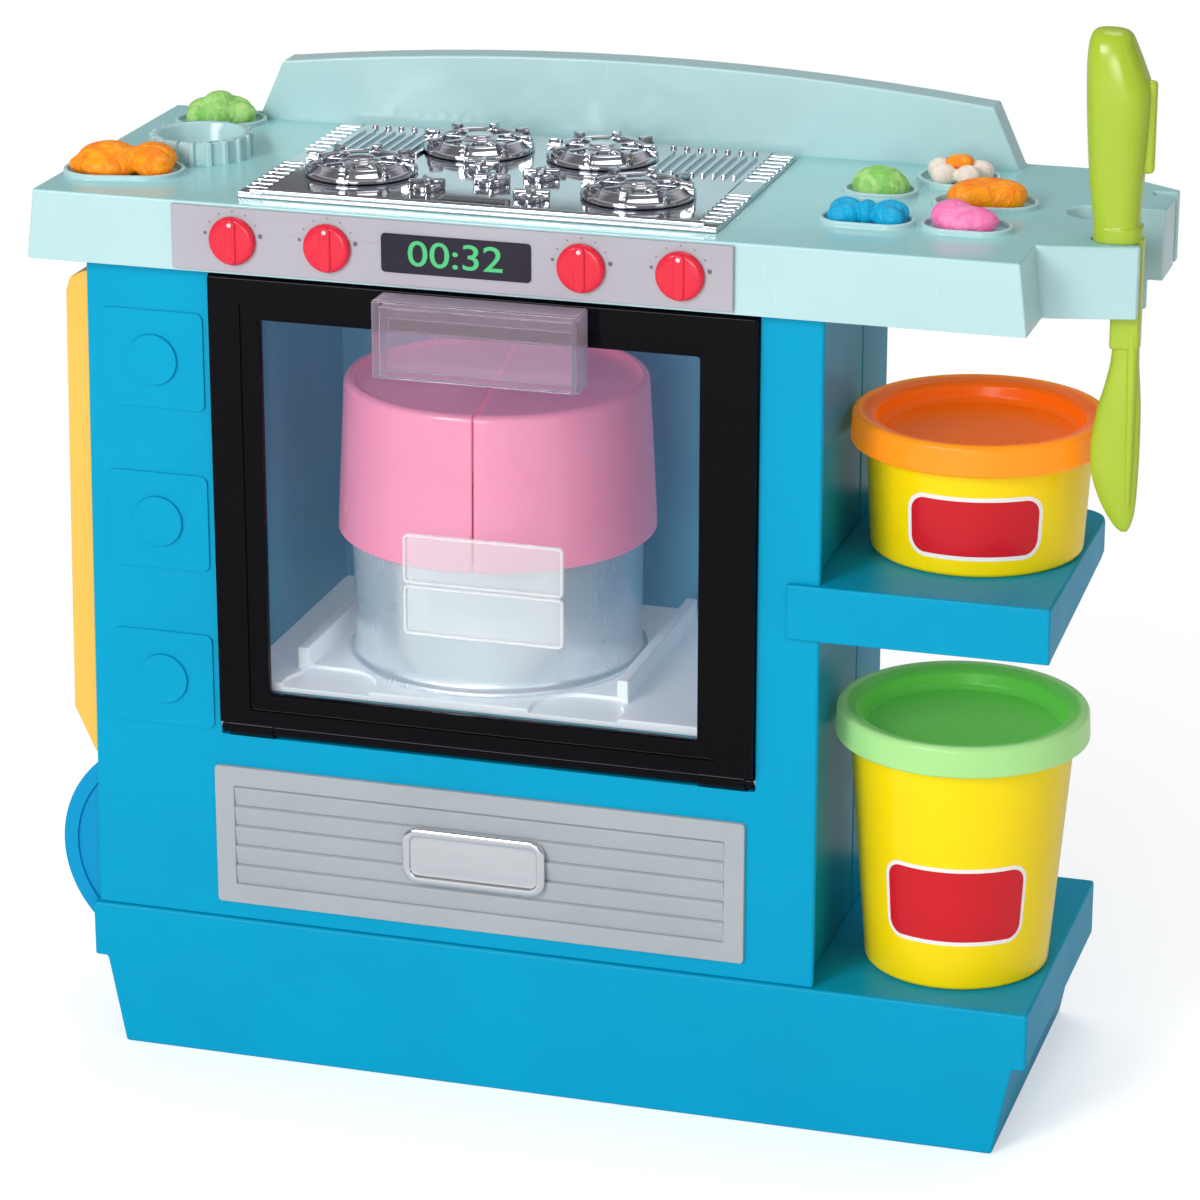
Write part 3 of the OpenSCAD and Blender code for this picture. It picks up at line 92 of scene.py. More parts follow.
def placed(tree, kind, *values, **settings):
    """Adds a node, a shader one if only its short name is told. A name that it has as a setting
    is set, any other is an input; values fill its inputs in their order."""
    node = tree.nodes.new(kind if "Node" in kind else "ShaderNode" + kind)
    for name, value in settings.items():
        if hasattr(node, name):
            setattr(node, name, value)
        else:
            filled(tree, node.inputs[name.replace("_", " ")], value)
    for socket, value in zip(node.inputs, values):
        filled(tree, socket, value)
    return node


def cleared(block):
    """The empty node tree of a material or a world."""
    block.use_nodes = True
    block.node_tree.nodes.clear()
    return block.node_tree


pure_white = (1, 1, 1, 1)
scene.world = bpy.data.worlds.new("studio")
walls = cleared(scene.world)
ray = placed(walls, "LightPath").outputs
way = placed(walls, "TexCoord").outputs["Generated"]
height = placed(walls, "SeparateXYZ", way).outputs["Z"]
bands = placed(walls, "ValToRGB", height)
ramp = bands.color_ramp.elements
ramp[0].color = (0.72, 0.72, 0.74, 1)
ramp[1].color = (0.45, 0.45, 0.47, 1)
for place, grey in ((0.08, 0.80), (0.15, 0.34), (0.42, 0.26), (0.54, 0.95), (0.68, 0.95), (0.80, 0.30)):
    ramp.new(place).color = (grey, grey, grey * 1.02, 1)
plain = placed(walls, "Background", pure_white, 0.42)
shine = placed(walls, "Background", bands, 0.62)
seen = placed(walls, "Background", pure_white, 1.0)
mirrored = placed(walls, "MixShader", ray["Is Glossy Ray"], plain, shine)
through = placed(walls, "Math", ray["Is Camera Ray"], ray["Is Transmission Ray"], operation="MAXIMUM")
placed(walls, "OutputWorld", placed(walls, "MixShader", through, mirrored, seen))

for name, place, size, watts in (("key_lamp", (-0.75, -1.9, 1.15), 0.9, 25.5),
                                 ("fill_lamp", (0.10, -1.9, 0.42), 0.6, 8),
                                 ("side_lamp", (1.7, -0.9, 1.0), 0.8, 1.5),
                                 ("top_lamp", (0.1, 0.5, 1.9), 0.9, 6.5)):
    light = bpy.data.lights.new(name, "AREA")
    light.shape = "DISK"
    light.size = size
    light.energy = watts
    aimed(linked(name, light), place, (0, 0, 0.12))

ground = bpy.data.meshes.new("studio_floor")
ground.from_pydata([(-6, -6, 0), (6, -6, 0), (6, 9, 0), (-6, 9, 0)], [], [(0, 1, 2, 3)])
floor = linked("studio_floor", ground)
pale = bpy.data.materials.new("pale_floor")
paper = cleared(pale)
spot = placed(paper, "TexCoord").outputs["Object"]
away = placed(paper, "VectorMath", spot, operation="LENGTH").outputs["Value"]
fade = placed(paper, "MapRange", away, 0.17, 0.42, 0.0, 1.0, interpolation_type="SMOOTHSTEP")
matt = placed(paper, "BsdfDiffuse", (0.93, 0.93, 0.935, 1))
painted_glow = placed(paper, "Emission", pure_white, 0.40)
white = placed(paper, "Emission", pure_white, 1.0)
faded = placed(paper, "MixShader", fade, placed(paper, "AddShader", matt, painted_glow), white)
to_camera = placed(paper, "LightPath").outputs["Is Camera Ray"]
placed(paper, "OutputMaterial", placed(paper, "MixShader", to_camera, matt, faded))
floor.data.materials.append(pale)

# Base. A hollow tray of bright blue plastic, moulded in one piece with its drawn-in foot,
# and closed from below by a flat cover that four screws hold.


def surface_group(name, smooth, dull, grain):
    """An empty shader group for a surface, with its inputs' outlets and its outputs' inlets."""
    tree = bpy.data.node_groups.new(name, "ShaderNodeTree")
    colour, number = "NodeSocketColor", "NodeSocketFloat"
    for label, kind, value in (("Colour", colour, (0.5, 0.5, 0.5, 1)), ("Deeper", colour, (0.4, 0.4, 0.4, 1)),
                               ("Smooth", number, smooth), ("Dull", number, dull), ("Grain", number, grain)):
        tree.interface.new_socket(label, in_out="INPUT", socket_type=kind).default_value = value
    for label, kind in (("Colour", colour), ("Roughness", number), ("Height", number)):
        tree.interface.new_socket(label, in_out="OUTPUT", socket_type=kind)
    return tree, placed(tree, "NodeGroupInput").outputs, placed(tree, "NodeGroupOutput").inputs


def mixed_colour(tree, factor, first, second):
    node = placed(tree, "Mix", factor, data_type="RGBA")
    filled(tree, node.inputs[6], first)
    filled(tree, node.inputs[7], second)
    return node.outputs[2]


def spread(tree, value, low, high, out_low, out_high):
    return placed(tree, "MapRange", value, low, high, out_low, out_high)


# Moulded plastic: faint clouds of pigment, the tool's fine grain, and rub marks that
# scatter the shine.
skin, skin_in, skin_out = surface_group("moulded_skin", 0.25, 0.4, 1400.0)
spot = placed(skin, "TexCoord").outputs["Object"]
clouds = placed(skin, "TexNoise", Vector=spot, Scale=22.0, Detail=4.0, Roughness=0.55)
grain = placed(skin, "TexNoise", Vector=spot, Scale=skin_in["Grain"], Detail=2.0)
swell = placed(skin, "TexNoise", Vector=spot, Scale=60.0, Detail=1.0)
stretch = placed(skin, "Mapping", Vector=spot, Scale=(900.0, 900.0, 60.0), Rotation=(0.5, 0.9, 0.3))
rubs = placed(skin, "TexNoise", Vector=stretch, Scale=1.0, Detail=3.0)
patches = placed(skin, "TexNoise", Vector=spot, Scale=38.0, Detail=2.0)
worn = placed(skin, "Math", spread(skin, rubs, 0.60, 0.72, 0.0, 1.0),
              spread(skin, patches, 0.50, 0.68, 0.0, 1.0), operation="MULTIPLY")
even = spread(skin, clouds, 0.3, 0.75, skin_in["Smooth"], skin_in["Dull"])
filled(skin, skin_out["Colour"], mixed_colour(skin, spread(skin, clouds, 0.3, 0.7, 0.0, 1.0),
                                              skin_in["Colour"], skin_in["Deeper"]))
rub_weight = 0.12
filled(skin, skin_out["Roughness"],
       placed(skin, "Math", worn, rub_weight, even, operation="MULTIPLY_ADD"))
swell_weight = 2.5
filled(skin, skin_out["Height"],
       placed(skin, "Math", swell, swell_weight, grain, operation="MULTIPLY_ADD"))


def paint(red, green, blue):
    """A colour as it is read off a screen, made linear, and opaque."""
    steps = [c / 255 for c in (red, green, blue)]
    return (*[c / 12.92 if c <= 0.04045 else ((c + 0.055) / 1.055) ** 2.4 for c in steps], 1)


def surfaced(name, group, colour, deeper, smooth, dull, grain, depth, strength, **settings):
    """A material whose shader takes its colour, roughness and relief from a group, with both."""
    material = bpy.data.materials.new(name)
    tree = cleared(material)
    look = placed(tree, "Group", node_tree=group, Colour=paint(*colour), Deeper=paint(*deeper),
                  Smooth=smooth, Dull=dull, Grain=grain).outputs
    relief = placed(tree, "Bump", Height=look["Height"], Distance=depth, Strength=strength)
    return material, placed(tree, "BsdfPrincipled", Normal=relief, Base_Color=look["Colour"],
                            Roughness=look["Roughness"], **settings)


def moulded(name, colour, deeper, smooth=0.24, dull=0.36, grain=1400.0, depth=0.00002, coat=0.0,
            metal=0.0, soft=0.0, gloss=0.16, painted_glow=0.0, group=skin):
    """A plastic of that colour; smooth and dull are the roughness of its shiniest and dullest patches."""
    material, body = surfaced(
        name, group, colour, deeper, smooth, dull, grain, depth, 0.6, Specular_IOR_Level=gloss,
        Coat_Weight=coat, Coat_Roughness=0.08, Metallic=metal, Subsurface_Weight=soft,
        Subsurface_Scale=0.004, Emission_Strength=painted_glow)
    tree = material.node_tree
    # Painted glow: the surface emits its own colour, painted light though it is no lamp.
    if painted_glow:
        filled(tree, body.inputs["Emission Color"], body.inputs["Base Color"].links[0].from_socket)
    placed(tree, "OutputMaterial", body)
    return material


def kept(mesh, name, material, node):
    """A finished mesh becomes a piece with its material, on the body of the node whose place it takes; the
    node is hidden.
    """
    piece = linked(name, mesh)
    mesh.materials.clear()
    mesh.materials.append(material)
    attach(piece, node_body[node])
    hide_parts(node)


def evaluated(blank):
    """The mesh of an object after its modifiers. The object goes."""
    graph = bpy.context.evaluated_depsgraph_get()
    result = bpy.data.meshes.new_from_object(blank.evaluated_get(graph))
    bpy.data.objects.remove(blank)
    return result


def settled(mesh, *modifiers):
    """The mesh after its modifiers, each given as its kind and its settings."""
    blank = linked("blank", mesh)
    for kind, settings in modifiers:
        step = blank.modifiers.new(kind, kind)
        for name, value in settings.items():
            setattr(step, name, value)
    return evaluated(blank)


corner_slack = 0.0002
steepest_turn = 0.85
tiling_slack = 1.004


def reach_beside(edge, face, sharp):
    """How far the face goes on from this edge before it meets its next sharp edge."""
    start = edge.verts[0].co
    run = edge.verts[1].co - start
    length = run.length
    run = run / length
    least = 1.0
    for other in face.edges:
        if other is edge or other not in sharp:
            continue
        other_start = other.verts[0].co
        other_run = other.verts[1].co - other_start
        way = other_run.normalized()
        if set(other.verts) & set(edge.verts):
            if abs(way.dot(run)) < steepest_turn:
                least = min(least, other.calc_length())
            continue
        for corner in other.verts:
            along = (corner.co - start).dot(run)
            if -corner_slack <= along <= length + corner_slack:
                least = min(least, (corner.co - start - run * along).length)
        for corner in edge.verts:
            along = (corner.co - other_start).dot(way)
            if 0 <= along <= other_run.length:
                least = min(least, (corner.co - other_start - way * along).length)
    return least


def refilled(mesh):
    """Fills again, with triangles, the faces that tile wrongly, such as a ring over its own middle."""
    mesh.calc_loop_triangles()
    tiled = {}
    for tile in mesh.loop_triangles:
        tiled[tile.polygon_index] = tiled.get(tile.polygon_index, 0.0) + tile.area
    wrong = [f.index for f in mesh.polygons if tiled.get(f.index, 0.0) > f.area * tiling_slack + 1e-10]
    shape = bmesh.new()
    shape.from_mesh(mesh)
    shape.faces.ensure_lookup_table()
    for face in [shape.faces[i] for i in wrong]:
        facing = face.normal.copy()
        across = facing.orthogonal().normalized()
        up = facing.cross(across)
        corners = face.verts[:]
        flat = [Vector((c.co.dot(across), c.co.dot(up))) for c in corners]
        points, _, tiles, sources, _, _ = delaunay_2d_cdt(flat, [], [list(range(len(flat)))], 1, 1e-8)
        depth = corners[0].co.dot(facing)
        used = []
        for point, source in zip(points, sources):
            found = [i for i in source if i < len(corners)]
            used.append(corners[found[0]] if found else
                        shape.verts.new(across * point.x + up * point.y + facing * depth))
        shape.faces.remove(face)
        for tile in tiles:
            ring = [used[i] for i in tile]
            if len(set(ring)) == 3 and shape.faces.get(ring) is None:
                shape.faces.new(ring)
    shape.to_mesh(mesh)
    shape.free()


weld_distance = 2e-6
bevel_share = 0.42


def welded(node):
    """A node's mesh for editing, its loose corners joined."""
    shape = bmesh.new()
    shape.from_mesh(frame["nodes"][node].data)
    bmesh.ops.remove_doubles(shape, verts=shape.verts, dist=weld_distance)
    return shape


def smoothed(mesh, angle):
    """The mesh with smooth faces, but for its edges that turn more than the angle."""
    for face in mesh.polygons:
        face.use_smooth = True
    mesh.set_sharp_from_angle(angle=math.radians(angle))
    return settled(mesh, ("WEIGHTED_NORMAL", dict(keep_sharp=True, weight=60)))


def rounded_mesh(node, radius, steps=2, turn=28):
    """A copy of a node's mesh with the small radius that a mould gives its edges."""
    shape = welded(node)
    bmesh.ops.dissolve_limit(shape, angle_limit=math.radians(0.4), verts=shape.verts, edges=shape.edges)
    weight = shape.edges.layers.float.new("bevel_weight_edge")
    sharp = {e for e in shape.edges if len(e.link_faces) == 2 and e.calc_face_angle(0) > math.radians(turn)}
    for edge in sharp:
        room_beside = min(reach_beside(edge, face, sharp) for face in edge.link_faces)
        edge[weight] = min(1.0, room_beside * bevel_share / radius)
    mesh = bpy.data.meshes.new(node + "_rounded")
    shape.to_mesh(mesh)
    shape.free()
    result = settled(mesh, ("BEVEL", dict(width=radius, segments=steps, limit_method="WEIGHT",
                                          offset_type="OFFSET", use_clamp_overlap=False,
                                          miter_outer="MITER_ARC", profile=0.6)))
    result.name = node + "_rounded"
    refilled(result)
    return smoothed(result, 34)


node_body = {n: b for b, members in frame["record"]["behaviour"]["bodies"].items() for n in members}


def rounded(node, radius, material, steps=2):
    """The node's own form with rounded edges, as the piece that shows."""
    kept(rounded_mesh(node, radius, steps), node + "_moulding", material, node)


cabinet_blue = moulded("cabinet_blue", (0, 156, 196), (0, 150, 190), 0.30, 0.42, gloss=0.10)
rounded("base_shell", 0.0009, cabinet_blue)
rounded("base_cover", 0.0005, cabinet_blue)

# Cabinet. Two deep shells of the same blue plastic that meet in an upright seam: the front
# one carries the door and three square pads with round buttons, the rear one a hump for the
# oven. Cross-head screws hold them together from behind, and the base cover from below.

corner_share = 0.45
least_radius = 1e-6


def block(low, high, radius=0.0, steps=2):
    """A box between two corners, its edges rounded."""
    shape = bmesh.new()
    middle = [(a + b) / 2 for a, b in zip(low, high)]
    size = [abs(b - a) for a, b in zip(low, high)]
    bmesh.ops.create_cube(shape, size=1, matrix=Matrix.Translation(middle) @ Matrix.Diagonal((*size, 1)))
    if radius:
        bmesh.ops.bevel(shape, geom=shape.edges[:], offset=min(radius, min(size) * corner_share),
                        segments=steps, profile=0.5, affect="EDGES")
    mesh = bpy.data.meshes.new("block")
    shape.to_mesh(mesh)
    shape.free()
    return mesh


def combined(*meshes, angle=32):
    """Several meshes as one, smooth but for its real corners."""
    shape = bmesh.new()
    for mesh in meshes:
        shape.from_mesh(mesh)
    mesh = bpy.data.meshes.new("combined")
    shape.to_mesh(mesh)
    shape.free()
    return smoothed(mesh, angle)


def drawn(rings, closed=False):
    """Skin over rings of equally many points each; a ring of one point is a pole. Open ends are capped."""
    points = [point for ring in rings for point in ring]
    starts = [sum(len(ring) for ring in rings[:i]) for i in range(len(rings))]
    faces = []
    pairs = list(zip(range(len(rings)), range(1, len(rings)))) + ([(len(rings) - 1, 0)] if closed else [])
    for low, high in pairs:
        parts = max(len(rings[low]), len(rings[high]))
        for i in range(parts):
            j = (i + 1) % parts
            foot = (starts[low] + i, starts[low] + j) if len(rings[low]) > 1 else (starts[low],)
            top = (starts[high] + j, starts[high] + i) if len(rings[high]) > 1 else (starts[high],)
            faces.append(foot + top)
    if not closed and len(rings[0]) > 1:
        faces.append(tuple(reversed(range(len(rings[0])))))
    if not closed and len(rings[-1]) > 1:
        faces.append(tuple(range(starts[-1], starts[-1] + len(rings[-1]))))
    mesh = bpy.data.meshes.new("drawn")
    mesh.from_pydata(points, [], faces)
    return mesh


def softened(outline, radius, steps=3, closed=False):
    """The outline with its corners rounded by as much of the radius as their sides allow."""
    result = []
    count = len(outline)
    for i, corner in enumerate(outline):
        if not closed and i in (0, count - 1):
            result.append(corner)
            continue
        here, before, after = (Vector(outline[k % count]) for k in (i, i - 1, i + 1))
        reach = min(radius, (before - here).length * corner_share, (after - here).length * corner_share)
        first = here + (before - here).normalized() * reach
        last = here + (after - here).normalized() * reach
        for k in range(steps + 1):
            t = k / steps
            result.append(tuple(first * (1 - t) ** 2 + here * 2 * t * (1 - t) + last * t ** 2))
    return result


def turned(outline, parts=72, closed=False):
    """An outline of radius and height, turned about Z. Going up it has its outside at larger radii."""
    rings = []
    for radius, height in outline:
        if radius < least_radius:
            rings.append([(0, 0, height)])
            continue
        angles = [2 * math.pi * k / parts for k in range(parts)]
        rings.append([(radius * math.cos(a), radius * math.sin(a), height) for a in angles])
    return drawn(rings, closed)


def islands(node):
    """The box of each separate solid of a node."""
    shape = welded(node)
    left = set(shape.verts)
    boxes = []
    while left:
        group, edge = set(), [left.pop()]
        while edge:
            vert = edge.pop()
            group.add(vert)
            near = {other.other_vert(vert) for other in vert.link_edges} & left
            left -= near
            edge += near
        boxes.append(tuple(Vector(pick(v.co[i] for v in group) for i in range(3)) for pick in (min, max)))
    shape.free()
    return sorted(boxes, key=lambda b: tuple(round(c, 5) for c in b[0]))


def growth(name, **inputs):
    """An empty geometry tree with its sockets: a mesh comes in and grown copies go out."""
    tree = bpy.data.node_groups.new(name, "GeometryNodeTree")
    sockets = dict(Geometry="Geometry", Piece="Object", **inputs, Material="Material")
    for label, kind in sockets.items():
        tree.interface.new_socket(label, in_out="INPUT", socket_type="NodeSocket" + kind)
    tree.interface.new_socket("Geometry", in_out="OUTPUT", socket_type="NodeSocketGeometry")
    return tree, placed(tree, "NodeGroupInput").outputs, placed(tree, "NodeGroupOutput")


def copies_out(tree, start, end, points, turn=None, spin=None):
    """Sets the piece on the points, turned, and makes the copies real."""
    piece = placed(tree, "GeometryNodeObjectInfo", Object=start["Piece"]).outputs["Geometry"]
    copies = placed(tree, "GeometryNodeInstanceOnPoints", Points=points, Instance=piece)
    if turn is not None:
        filled(tree, copies.inputs["Rotation"], turn)
    if spin is not None:
        copies = placed(tree, "GeometryNodeRotateInstances", Instances=copies, Rotation=spin)
    real = placed(tree, "GeometryNodeRealizeInstances", Geometry=copies)
    dressed = placed(tree, "GeometryNodeSetMaterial", Geometry=real, Material=start["Material"])
    filled(tree, end.inputs["Geometry"], dressed)


# Copies on the mesh's own points, all turned alike, each spun at random about its own axis
scattered, start, end = growth("copies_at_points", Turn="Rotation", Spin="Float", Seed="Int")
chance = placed(scattered, "FunctionNodeRandomValue", data_type="FLOAT", Seed=start["Seed"])
angle = placed(scattered, "Math", chance.outputs[1], start["Spin"], operation="MULTIPLY")
own_axis = placed(scattered, "CombineXYZ", Z=angle)
copies_out(scattered, start, end, start["Geometry"], start["Turn"], own_axis)


def grown(tree, piece, material, points=((0, 0, 0),), **values):
    """The mesh that a tree grows from a piece; the values go to the tree's inputs by their names."""
    seed_mesh = bpy.data.meshes.new("points")
    seed_mesh.from_pydata([tuple(p) for p in points], [], [])
    blank = linked("grown", seed_mesh)
    holder = linked("piece", piece)
    step = blank.modifiers.new("growth", "NODES")
    step.node_group = tree
    values.update(Piece=holder, Material=material)
    for item in tree.interface.items_tree:
        if item.in_out == "INPUT" and item.name in values:
            step[item.identifier] = values[item.name]
    result = evaluated(blank)
    bpy.data.objects.remove(holder)
    return result


def cut(mesh, tool):
    """The mesh with the tool's form taken out of it."""
    cutter = linked("cutter", tool)
    result = settled(mesh, ("BOOLEAN", dict(operation="DIFFERENCE", solver="EXACT", object=cutter)))
    bpy.data.objects.remove(cutter)
    return result


def lathed(outline, radius, steps=3, parts=72, closed=False):
    """An outline of radius and height with softened corners, turned about Z."""
    return turned(softened(outline, radius, steps, closed), parts, closed)


def screw(head_radius, head_height, shank_radius, length):
    """A pan-head screw with a cross recess. It points down from its head, whose seat is at zero."""
    head = lathed([(0, -length), (shank_radius * 0.4, -length), (shank_radius, -length + 0.001),
                   (shank_radius, 0), (head_radius, 0), (head_radius, head_height * 0.45),
                   (head_radius * 0.72, head_height * 0.9), (0, head_height)], 0.0002, 3, 40)
    slot_width = head_radius * 0.24
    slot_reach = head_radius * 0.62
    cross = [block((-slot_reach, -slot_width, head_height * 0.35), (slot_reach, slot_width, head_height * 2)),
             block((-slot_width, -slot_reach, head_height * 0.35), (slot_width, slot_reach, head_height * 2))]
    return combined(cut(cut(head, cross[0]), cross[1]), angle=25)


def screws(node, shank_radius, towards, turn):
    """The screws of a node, at its solids; towards is the head's axis and its side."""
    axis, side = towards
    places, sizes = [], []
    for low, high in islands(node):
        place = (low + high) / 2
        place[axis] = high[axis] if side > 0 else low[axis]
        places.append(place)
        sizes.append(high[axis] - low[axis])
    low, high = islands(node)[0]
    across = max(high[i] - low[i] for i in range(3) if i != axis) / 2
    head_height = across * 0.58
    for place in places:
        place[axis] -= side * head_height
    piece = screw(across, head_height, shank_radius, sizes[0] - head_height)
    mesh = grown(scattered, piece, steel, places, Turn=turn, Spin=math.pi, Seed=4)
    kept(combined(mesh, angle=25), node + "_turned", steel, node)


def metal(name, colour, smooth, dull, grain=2400.0, depth=0.000004):
    return moulded(name, colour, [c * 0.96 for c in colour], smooth, dull, grain, depth, metal=1.0)


steel = metal("steel", (176, 176, 180), 0.28, 0.42)
rounded("front_casing", 0.0009, cabinet_blue)
rounded("rear_casing", 0.0009, cabinet_blue)
screws("case_screws", 0.0012, (1, 1), (math.radians(-90), 0, 0))
screws("base_screws", 0.0012, (2, -1), (math.radians(180), 0, 0))

# Upper side shelf. A thin blue moulding with a lap over the cabinet's face, held by two
# tabs in the side wall.

shelf_blue = moulded("shelf_blue", (0, 155, 195), (0, 149, 189), 0.28, 0.40, gloss=0.10)
rounded("upper_shelf", 0.0009, shelf_blue)

# Worktop. One pale aqua moulding: top, apron, splashback, tool holder and the shallow dough
# moulds. It drops over the cabinet. Its top face is painted a shade deeper: painted shade for how the light
# falls on it.


def recoloured(material, mask, colour):
    """Puts another colour over a plastic's own where the mask is full."""
    tree = material.node_tree
    body = next(n for n in tree.nodes if n.type == "BSDF_PRINCIPLED")
    tone = mixed_colour(tree, mask, body.inputs["Base Color"].links[0].from_socket, paint(*colour))
    for socket in (body.inputs["Base Color"], body.inputs["Emission Color"]):
        if socket.links:
            filled(tree, socket, tone)


worktop_aqua = moulded("worktop_aqua", (181, 214, 216), (173, 209, 211), 0.16, 0.28, grain=900.0,
                       depth=0.000004, gloss=0.45)
top_face = 0.232
# Painted shade: a thin band at the top face's height is painted a deeper aqua than the apron and splashback.
tree = worktop_aqua.node_tree
rise = placed(tree, "SeparateXYZ", placed(tree, "TexCoord").outputs["Object"]).outputs["Z"]
over = spread(tree, rise, top_face - 0.0004, top_face - 0.0001, 0.0, 1.0)
under = spread(tree, rise, top_face + 0.0001, top_face + 0.0006, 1.0, 0.0)
recoloured(worktop_aqua, placed(tree, "Math", over, under, operation="MULTIPLY"), (160, 211, 213))
rounded("worktop", 0.0006, worktop_aqua, 3)

# Hob. One thin chromed moulding that lies on the worktop: a plate with combs at both ends,
# four burners with upright stops, small dials between them and ridges behind.

chrome = metal("hob_chrome", (205, 206, 212), 0.05, 0.14)
hob_low, hob_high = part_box("hob_plate")
hob_size = hob_high - hob_low
sheet = 0.0016
hob_top = hob_low.z + sheet
comb_reach = 0.0055
comb_pitch = 0.0039
comb_drop = 0.0008
comb_count = 7

# Copies in a row
in_row, start, end = growth("copies_in_row", Count="Int", Start="Vector", Step="Vector")
line = placed(in_row, "GeometryNodeMeshLine", mode="OFFSET", Count=start["Count"],
              Start_Location=start["Start"], Offset=start["Step"])
copies_out(in_row, start, end, line)

# Copies round a ring, each facing outwards
in_ring, start, end = growth("copies_in_ring", Count="Int", Radius="Float")
ring = placed(in_ring, "GeometryNodeMeshCircle", Vertices=start["Count"], Radius=start["Radius"])
place = placed(in_ring, "GeometryNodeInputIndex")
share = placed(in_ring, "Math", place, start["Count"], operation="DIVIDE")
angle = placed(in_ring, "Math", share, 2 * math.pi, operation="MULTIPLY")
copies_out(in_ring, start, end, ring, placed(in_ring, "CombineXYZ", Z=angle))


def on_hob(mesh):
    kept(mesh, mesh.name, chrome, "hob_plate")


def named(mesh, name):
    mesh.name = name
    return mesh


def hob_sheet():
    """The plate with a rolled front edge, and two combs at each end between solid stretches."""
    low, high = hob_low.copy(), hob_high.copy()
    comb_run = comb_count * comb_pitch
    comb_starts = (0.0069, hob_size.y - comb_run - 0.0037 + comb_pitch / 2)
    parts = [block((low.x, low.y, low.z), (high.x, high.y, hob_top - comb_drop), 0.0003),
             block((low.x + comb_reach, low.y + 0.0004, low.z),
                   (high.x - comb_reach, high.y, hob_top), 0.0004),
             block((low.x + 0.003, low.y, hob_top - 0.0004),
                   (high.x - 0.003, low.y + 0.0024, hob_top + 0.0009), 0.0004, 3)]
    for side in (0, 1):
        x0 = low.x if side == 0 else high.x - comb_reach - 0.001
        x1 = x0 + comb_reach + 0.001
        tooth = block((0, -comb_pitch / 4, -comb_drop - 0.0002), (x1 - x0, comb_pitch / 4, 0), 0.0003)
        ends = [low.y]
        for start_y in comb_starts:
            ends += [low.y + start_y - comb_pitch / 2, low.y + start_y + comb_run - comb_pitch / 2]
            parts.append(grown(in_row, tooth, chrome, Count=comb_count, Step=(0, comb_pitch, 0),
                               Start=(x0, low.y + start_y, hob_top)))
        ends.append(high.y)
        for y0, y1 in zip(ends[::2], ends[1::2]):
            parts.append(block((x0, y0, hob_top - comb_drop - 0.0002), (x1, y1, hob_top), 0.0003))
    return named(combined(*parts), "hob_sheet")


def moved(mesh, place=(0, 0, 0), turn=(0, 0, 0), size=(1, 1, 1)):
    """The mesh scaled, turned by three angles in degrees, and set at its place."""
    angles = [math.radians(a) for a in turn]
    mesh.transform(Matrix.LocRotScale(Vector(place), Euler(angles), Vector(size)))
    return mesh


def burner():
    """Grate ring, dished pan, domed cap and eight stops, about Z."""
    reach = 0.0145
    ring = lathed([(reach - 0.0044, 0.0006), (reach - 0.0006, 0.0), (reach, 0.0006), (reach - 0.0004, 0.0016),
                   (reach - 0.0018, 0.0024), (reach - 0.0026, 0.0033), (reach - 0.0040, 0.0033),
                   (reach - 0.0044, 0.0022)], 0.0004, closed=True)
    pan = lathed([(0.0062, 0.0012), (0.0074, 0.0004), (reach - 0.0040, 0.0008)], 0.0005, parts=64)
    cap = lathed([(0.0068, 0.0), (0.0066, 0.0014), (0.0054, 0.0018), (0.0051, 0.0032), (0.0036, 0.0035),
                  (0.0034, 0.0041), (0.0012, 0.0043), (0, 0.0043)], 0.0005, parts=64)
    stop = combined(block((-0.0024, -0.0010, 0.0008), (0.0024, 0.0010, 0.0030), 0.0003),
                    block((-0.0014, -0.0010, 0.0020), (0.0020, 0.0010, 0.0044), 0.0004))
    spoke = block((-0.0040, -0.00045, 0.0024), (0.0012, 0.00045, 0.0033), 0.0002)
    arm = combined(moved(stop, (reach - 0.0024, 0, 0)), moved(spoke, (reach - 0.0060, 0, 0)))
    tooth = moved(block((-0.0004, -0.0002, 0.0010), (0.0004, 0.0002, 0.0022), 0.0001), (0.0062, 0, 0))
    stops, teeth = (grown(in_ring, piece, chrome, Count=count, Radius=1e-5)
                    for piece, count in ((arm, 8), (tooth, 24)))
    return combined(ring, pan, cap, stops, teeth)


def hob_dial():
    """A small round dial with a cross grip."""
    foot = lathed([(0, 0), (0.0036, 0), (0.0036, 0.0010), (0.0029, 0.0016), (0, 0.0018)], 0.0003, parts=36)
    bar = block((-0.0046, -0.0008, 0.0), (0.0046, 0.0008, 0.0026), 0.0004)
    knob = lathed([(0.0016, 0.0010), (0.0015, 0.0027), (0, 0.0031)], 0.0004, parts=24)
    return combined(foot, bar, moved(bar.copy(), turn=(0, 0, 90)), knob)


def shares(places):
    """Points on the hob, each given by its shares of the hob's width and depth."""
    return [(hob_low.x + u * hob_size.x, hob_low.y + v * hob_size.y, hob_top) for u, v in places]


on_hob(hob_sheet())
burner_places = shares(((0.184, 0.355), (0.355, 0.761), (0.624, 0.761), (0.784, 0.31)))
dial_places = shares(((0.416, 0.49), (0.555, 0.439), (0.359, 0.206), (0.588, 0.168), (0.473, 0.323)))
on_hob(named(combined(grown(scattered, burner(), chrome, burner_places)), "hob_burners"))
on_hob(named(combined(grown(scattered, hob_dial(), chrome, dial_places, Spin=0.5, Seed=2)), "hob_dials"))


def boxed_ring(width, height, radius, level, steps=6):
    """Points of a rectangle with round corners, at a level over the XY plane."""
    radius = max(min(radius, width / 2 - least_radius, height / 2 - least_radius), least_radius)
    ring = []
    for corner, (sx, sy) in enumerate(((1, 1), (-1, 1), (-1, -1), (1, -1))):
        for k in range(steps + 1):
            a = math.radians(90 * (corner + k / steps))
            ring.append((sx * (width / 2 - radius) + radius * math.cos(a),
                         sy * (height / 2 - radius) + radius * math.sin(a), level))
    return ring


